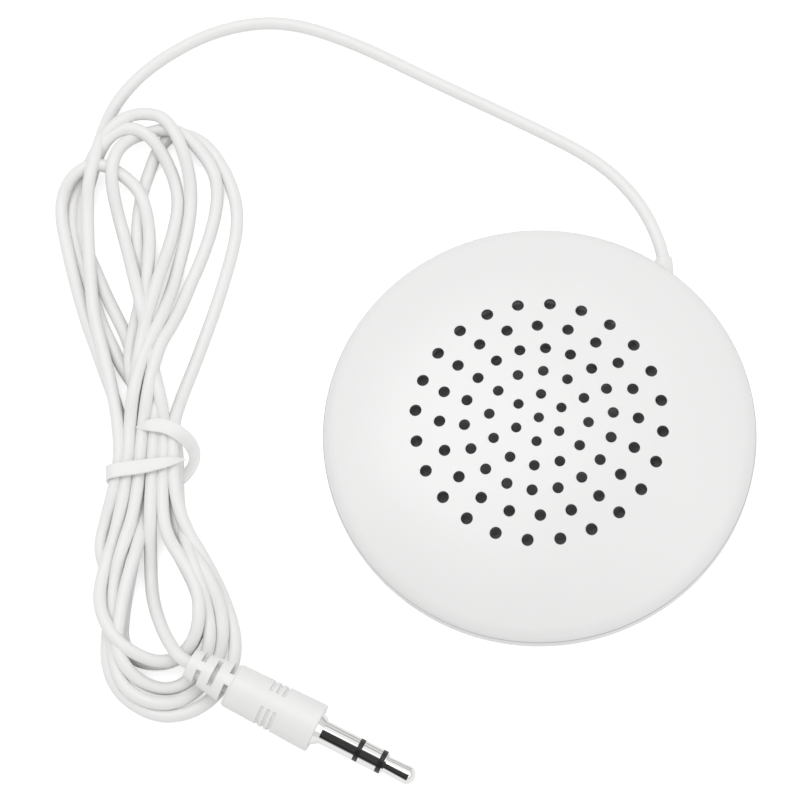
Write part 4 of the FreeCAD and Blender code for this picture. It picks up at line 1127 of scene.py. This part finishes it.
@dataclass
class Studio:
    """Floor, light and camera.

    Attributes:
        turn: Camera's place round the housing in degrees.
        rise: Camera's height above the horizon in degrees.
        roll: Turn of the picture in degrees.
        distance: Camera's distance from the crown's plane.
        crown: Height of the housing's crown.
        right: Crown's place to the right of the picture's middle, at its distance.
        down: Crown's place under the picture's middle, at its distance.
        scale: Pixels per metre at that distance.
        width: Width of the picture in pixels.
        sensor: Width of the camera's sensor in millimetres.
        surroundings: Strength of the even light from all round.
        room_turn: Side of the picture to which the dark room lies, in degrees from its right.
        room_lean: Angle from the camera to the dark room's middle.
        room_half: Half the dark room's width in degrees.
        room_edge: Half the width of its soft edge in degrees.
        room_tone: Brightness of the dark room.
        paper: Shade of the floor.
        paper_glow: How much the floor adds to its own shade where the camera sees it.
        paper_gleam: How much it adds in reflections.
        floor_half: Half the floor's width.
        floor_gap: Room between the floor and the object.
        lamp_distance: Distance of the lamps from the object.
        aim: Place at which the lamps point.
        BOX_EDGE: Brightness of what reflections show, by the sine of its height above the
            horizon. The ramp's two ends come first.
        LAMPS: One large soft lamp from the picture's top left and a weak one from its right.
    """

    turn: float = 43.28
    rise: float = 71.84
    roll: float = 7.82
    distance: float = 0.5173
    crown: float = 14.2 * MM
    right: float = 0.02007
    down: float = 0.00250
    scale: float = 6917.0
    width: int = 800
    sensor: float = 36.0
    surroundings: float = 0.72
    room_turn: float = -116.0
    room_lean: float = 21.0
    room_half: float = 44.0
    room_edge: float = 3.0
    room_tone: float = 0.05
    paper: float = 0.8
    paper_glow: float = 0.6
    paper_gleam: float = 0.2
    floor_half: float = 3.0
    floor_gap: float = 0.02 * MM
    lamp_distance: float = 0.8
    aim: Vector = field(default_factory=lambda: Vector((-0.03, -0.01, 0.0)))

    BOX_EDGE = ((0.0, 0.8), (1.0, 1.0), (0.51, 0.8), (0.53, 0.02), (0.58, 0.02), (0.6, 1.0))
    LAMPS = (Lamp("key_light", -0.25, 0.45, 0.8, power=1.75, size=0.55),
             Lamp("fill_light", 0.6, -0.15, 0.8, power=0.6, size=0.6))

    def axes(self) -> tuple[Vector, Vector, Vector]:
        """Camera's axes in the row frame.

        Returns:
            Right, up and forward.
        """
        turn, rise, roll = (math.radians(angle) for angle in (self.turn, self.rise, self.roll))
        level = Vector((math.cos(turn), math.sin(turn), 0.0))
        away = Vector((-math.sin(turn), math.cos(turn), 0.0))
        upright = away * math.sin(rise) + UP * math.cos(rise)
        return (level * math.cos(roll) - upright * math.sin(roll),
                level * math.sin(roll) + upright * math.cos(roll),
                away * math.cos(rise) - UP * math.sin(rise))

    def build(self) -> None:
        """Make the camera, world, lamps and floor."""
        self.camera()
        self.world()
        self.lamps()
        self.floor()

    def camera(self) -> None:
        """Camera at the photograph's angle."""
        right, up, forward = self.axes()
        data = bpy.data.cameras.new("camera")
        data.sensor_width = self.sensor
        data.lens = self.sensor * self.scale * self.distance / self.width
        data.clip_start = 0.01
        data.clip_end = 10.0
        camera = add_object("camera", data)
        place = UP * self.crown - right * self.right + up * self.down - forward * self.distance
        turn = Matrix((right, up, -forward)).transposed().to_4x4()
        camera.matrix_world = Matrix.Translation(place) @ turn
        bpy.context.scene.camera = camera

    def world(self) -> None:
        """White surroundings. Reflections show a dark camera side and the edge of a soft box.

        The plain light is what is left when the ray is of no other kind, because a light sample
        of the world has no kind at all.
        """
        world = bpy.context.scene.world = bpy.data.worlds.new("studio_world")
        world.use_nodes = True
        net = Net(world.node_tree)
        way = net.add("ShaderNodeTexCoord")["Generated"]
        height = net.add("ShaderNodeSeparateXYZ", {"Vector": way})["Z"]
        box = net.add("ShaderNodeValToRGB", {"Fac": height})["Color"]
        stops = box.node.color_ramp.elements
        for index, (place, tone) in enumerate(self.BOX_EDGE):
            stop = stops[index] if index < 2 else stops.new(place)
            stop.position = place
            stop.color = (tone, tone, tone, 1.0)
        toward = net.add("ShaderNodeVectorMath", {0: way, 1: self.room_way()},
                         operation="DOT_PRODUCT")["Value"]
        rim, core = (math.cos(math.radians(self.room_half + edge))
                     for edge in (self.room_edge, -self.room_edge))
        room = net.add("ShaderNodeMapRange", {
            "Value": toward, "From Min": rim, "From Max": core, "To Min": 1.0,
            "To Max": self.room_tone})["Result"]
        gloss, direct = self.rays(net)
        view = net.reckon("MULTIPLY", gloss, net.reckon("MULTIPLY", box, room))
        shown = net.reckon("MAXIMUM", view, direct)
        other = net.reckon("SUBTRACT", 1.0, net.reckon("MAXIMUM", gloss, direct))
        plain = net.reckon("MULTIPLY", other, self.surroundings)
        net.fill(net.tree.nodes["Background"], {
            "Color": (1.0, 1.0, 1.0, 1.0), "Strength": net.reckon("ADD", shown, plain)})

    @staticmethod
    def rays(net: Net) -> tuple[Socket, Socket]:
        """What kind of ray meets the world or the floor.

        Args:
            net: Shader tree to add to.

        Returns:
            1 for a reflection, and 1 for what the camera sees directly or through a clear piece.
        """
        path = net.add("ShaderNodeLightPath")
        direct = net.reckon("MAXIMUM", path["Is Camera Ray"], path["Is Transmission Ray"])
        return path["Is Glossy Ray"], direct

    def room_way(self) -> Vector:
        """Direction of the dark room's middle, a little past the camera as seen from the plug."""
        right, up, forward = self.axes()
        turn, lean = math.radians(self.room_turn), math.radians(self.room_lean)
        sideways = right * math.cos(turn) + up * math.sin(turn)
        return sideways * math.sin(lean) - forward * math.cos(lean)

    def lamps(self) -> None:
        """Hang the lamps."""
        right, up, forward = self.axes()
        for lamp in self.LAMPS:
            data = bpy.data.lights.new(lamp.name, "AREA")
            data.shape = "SQUARE"
            data.size = lamp.size
            data.energy = lamp.power
            way = (right * lamp.right + up * lamp.up - forward * lamp.back).normalized()
            piece = add_object(lamp.name, data)
            piece.location = self.aim + way * self.lamp_distance
            piece.rotation_mode = "QUATERNION"
            piece.rotation_quaternion = way.to_track_quat("Z", "Y")

    def floor(self) -> None:
        """White floor that keeps the object's shadow."""
        half, low = self.floor_half, -self.floor_gap
        mesh = bpy.data.meshes.new("floor")
        mesh.from_pydata([(-half, -half, low), (half, -half, low), (half, half, low),
                          (-half, half, low)], [], [(0, 1, 2, 3)])
        mesh.materials.append(self.floor_material())
        add_object("floor", mesh)

    def floor_material(self) -> bpy.types.Material:
        """Pale paper that the camera and reflections see as white, with a shadow.

        Returns:
            The floor's material.
        """
        material = bpy.data.materials.new("floor_paper")
        material.use_nodes = True
        material.node_tree.nodes.clear()
        net = Net(material.node_tree)
        gloss, direct = self.rays(net)
        glow = net.reckon("MAXIMUM", net.reckon("MULTIPLY", direct, self.paper_glow),
                          net.reckon("MULTIPLY", gloss, self.paper_gleam))
        paper = net.add("ShaderNodeBsdfDiffuse", {"Color": (*[self.paper] * 3, 1.0)})[0]
        light = net.add("ShaderNodeEmission", {"Strength": glow})[0]
        total = net.add("ShaderNodeAddShader", {0: paper, 1: light})[0]
        net.add("ShaderNodeOutputMaterial", {"Surface": total})
        return material


def main() -> None:
    logging.basicConfig(level=logging.INFO, format="%(name)s: %(message)s")
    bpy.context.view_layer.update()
    bpy.context.scene.view_settings.view_transform = "Standard"
    plug_frame = PlugFrame()
    palette = Palette(plug_frame.turn())
    Studio().build()
    for assembly in (Housing, Driver, Plug):
        assembly(palette).build()
    cord = Cord(palette, plug_frame)
    line = cord.build()
    Ribbon(palette, cord).build()


if __name__ == "__main__":
    main()
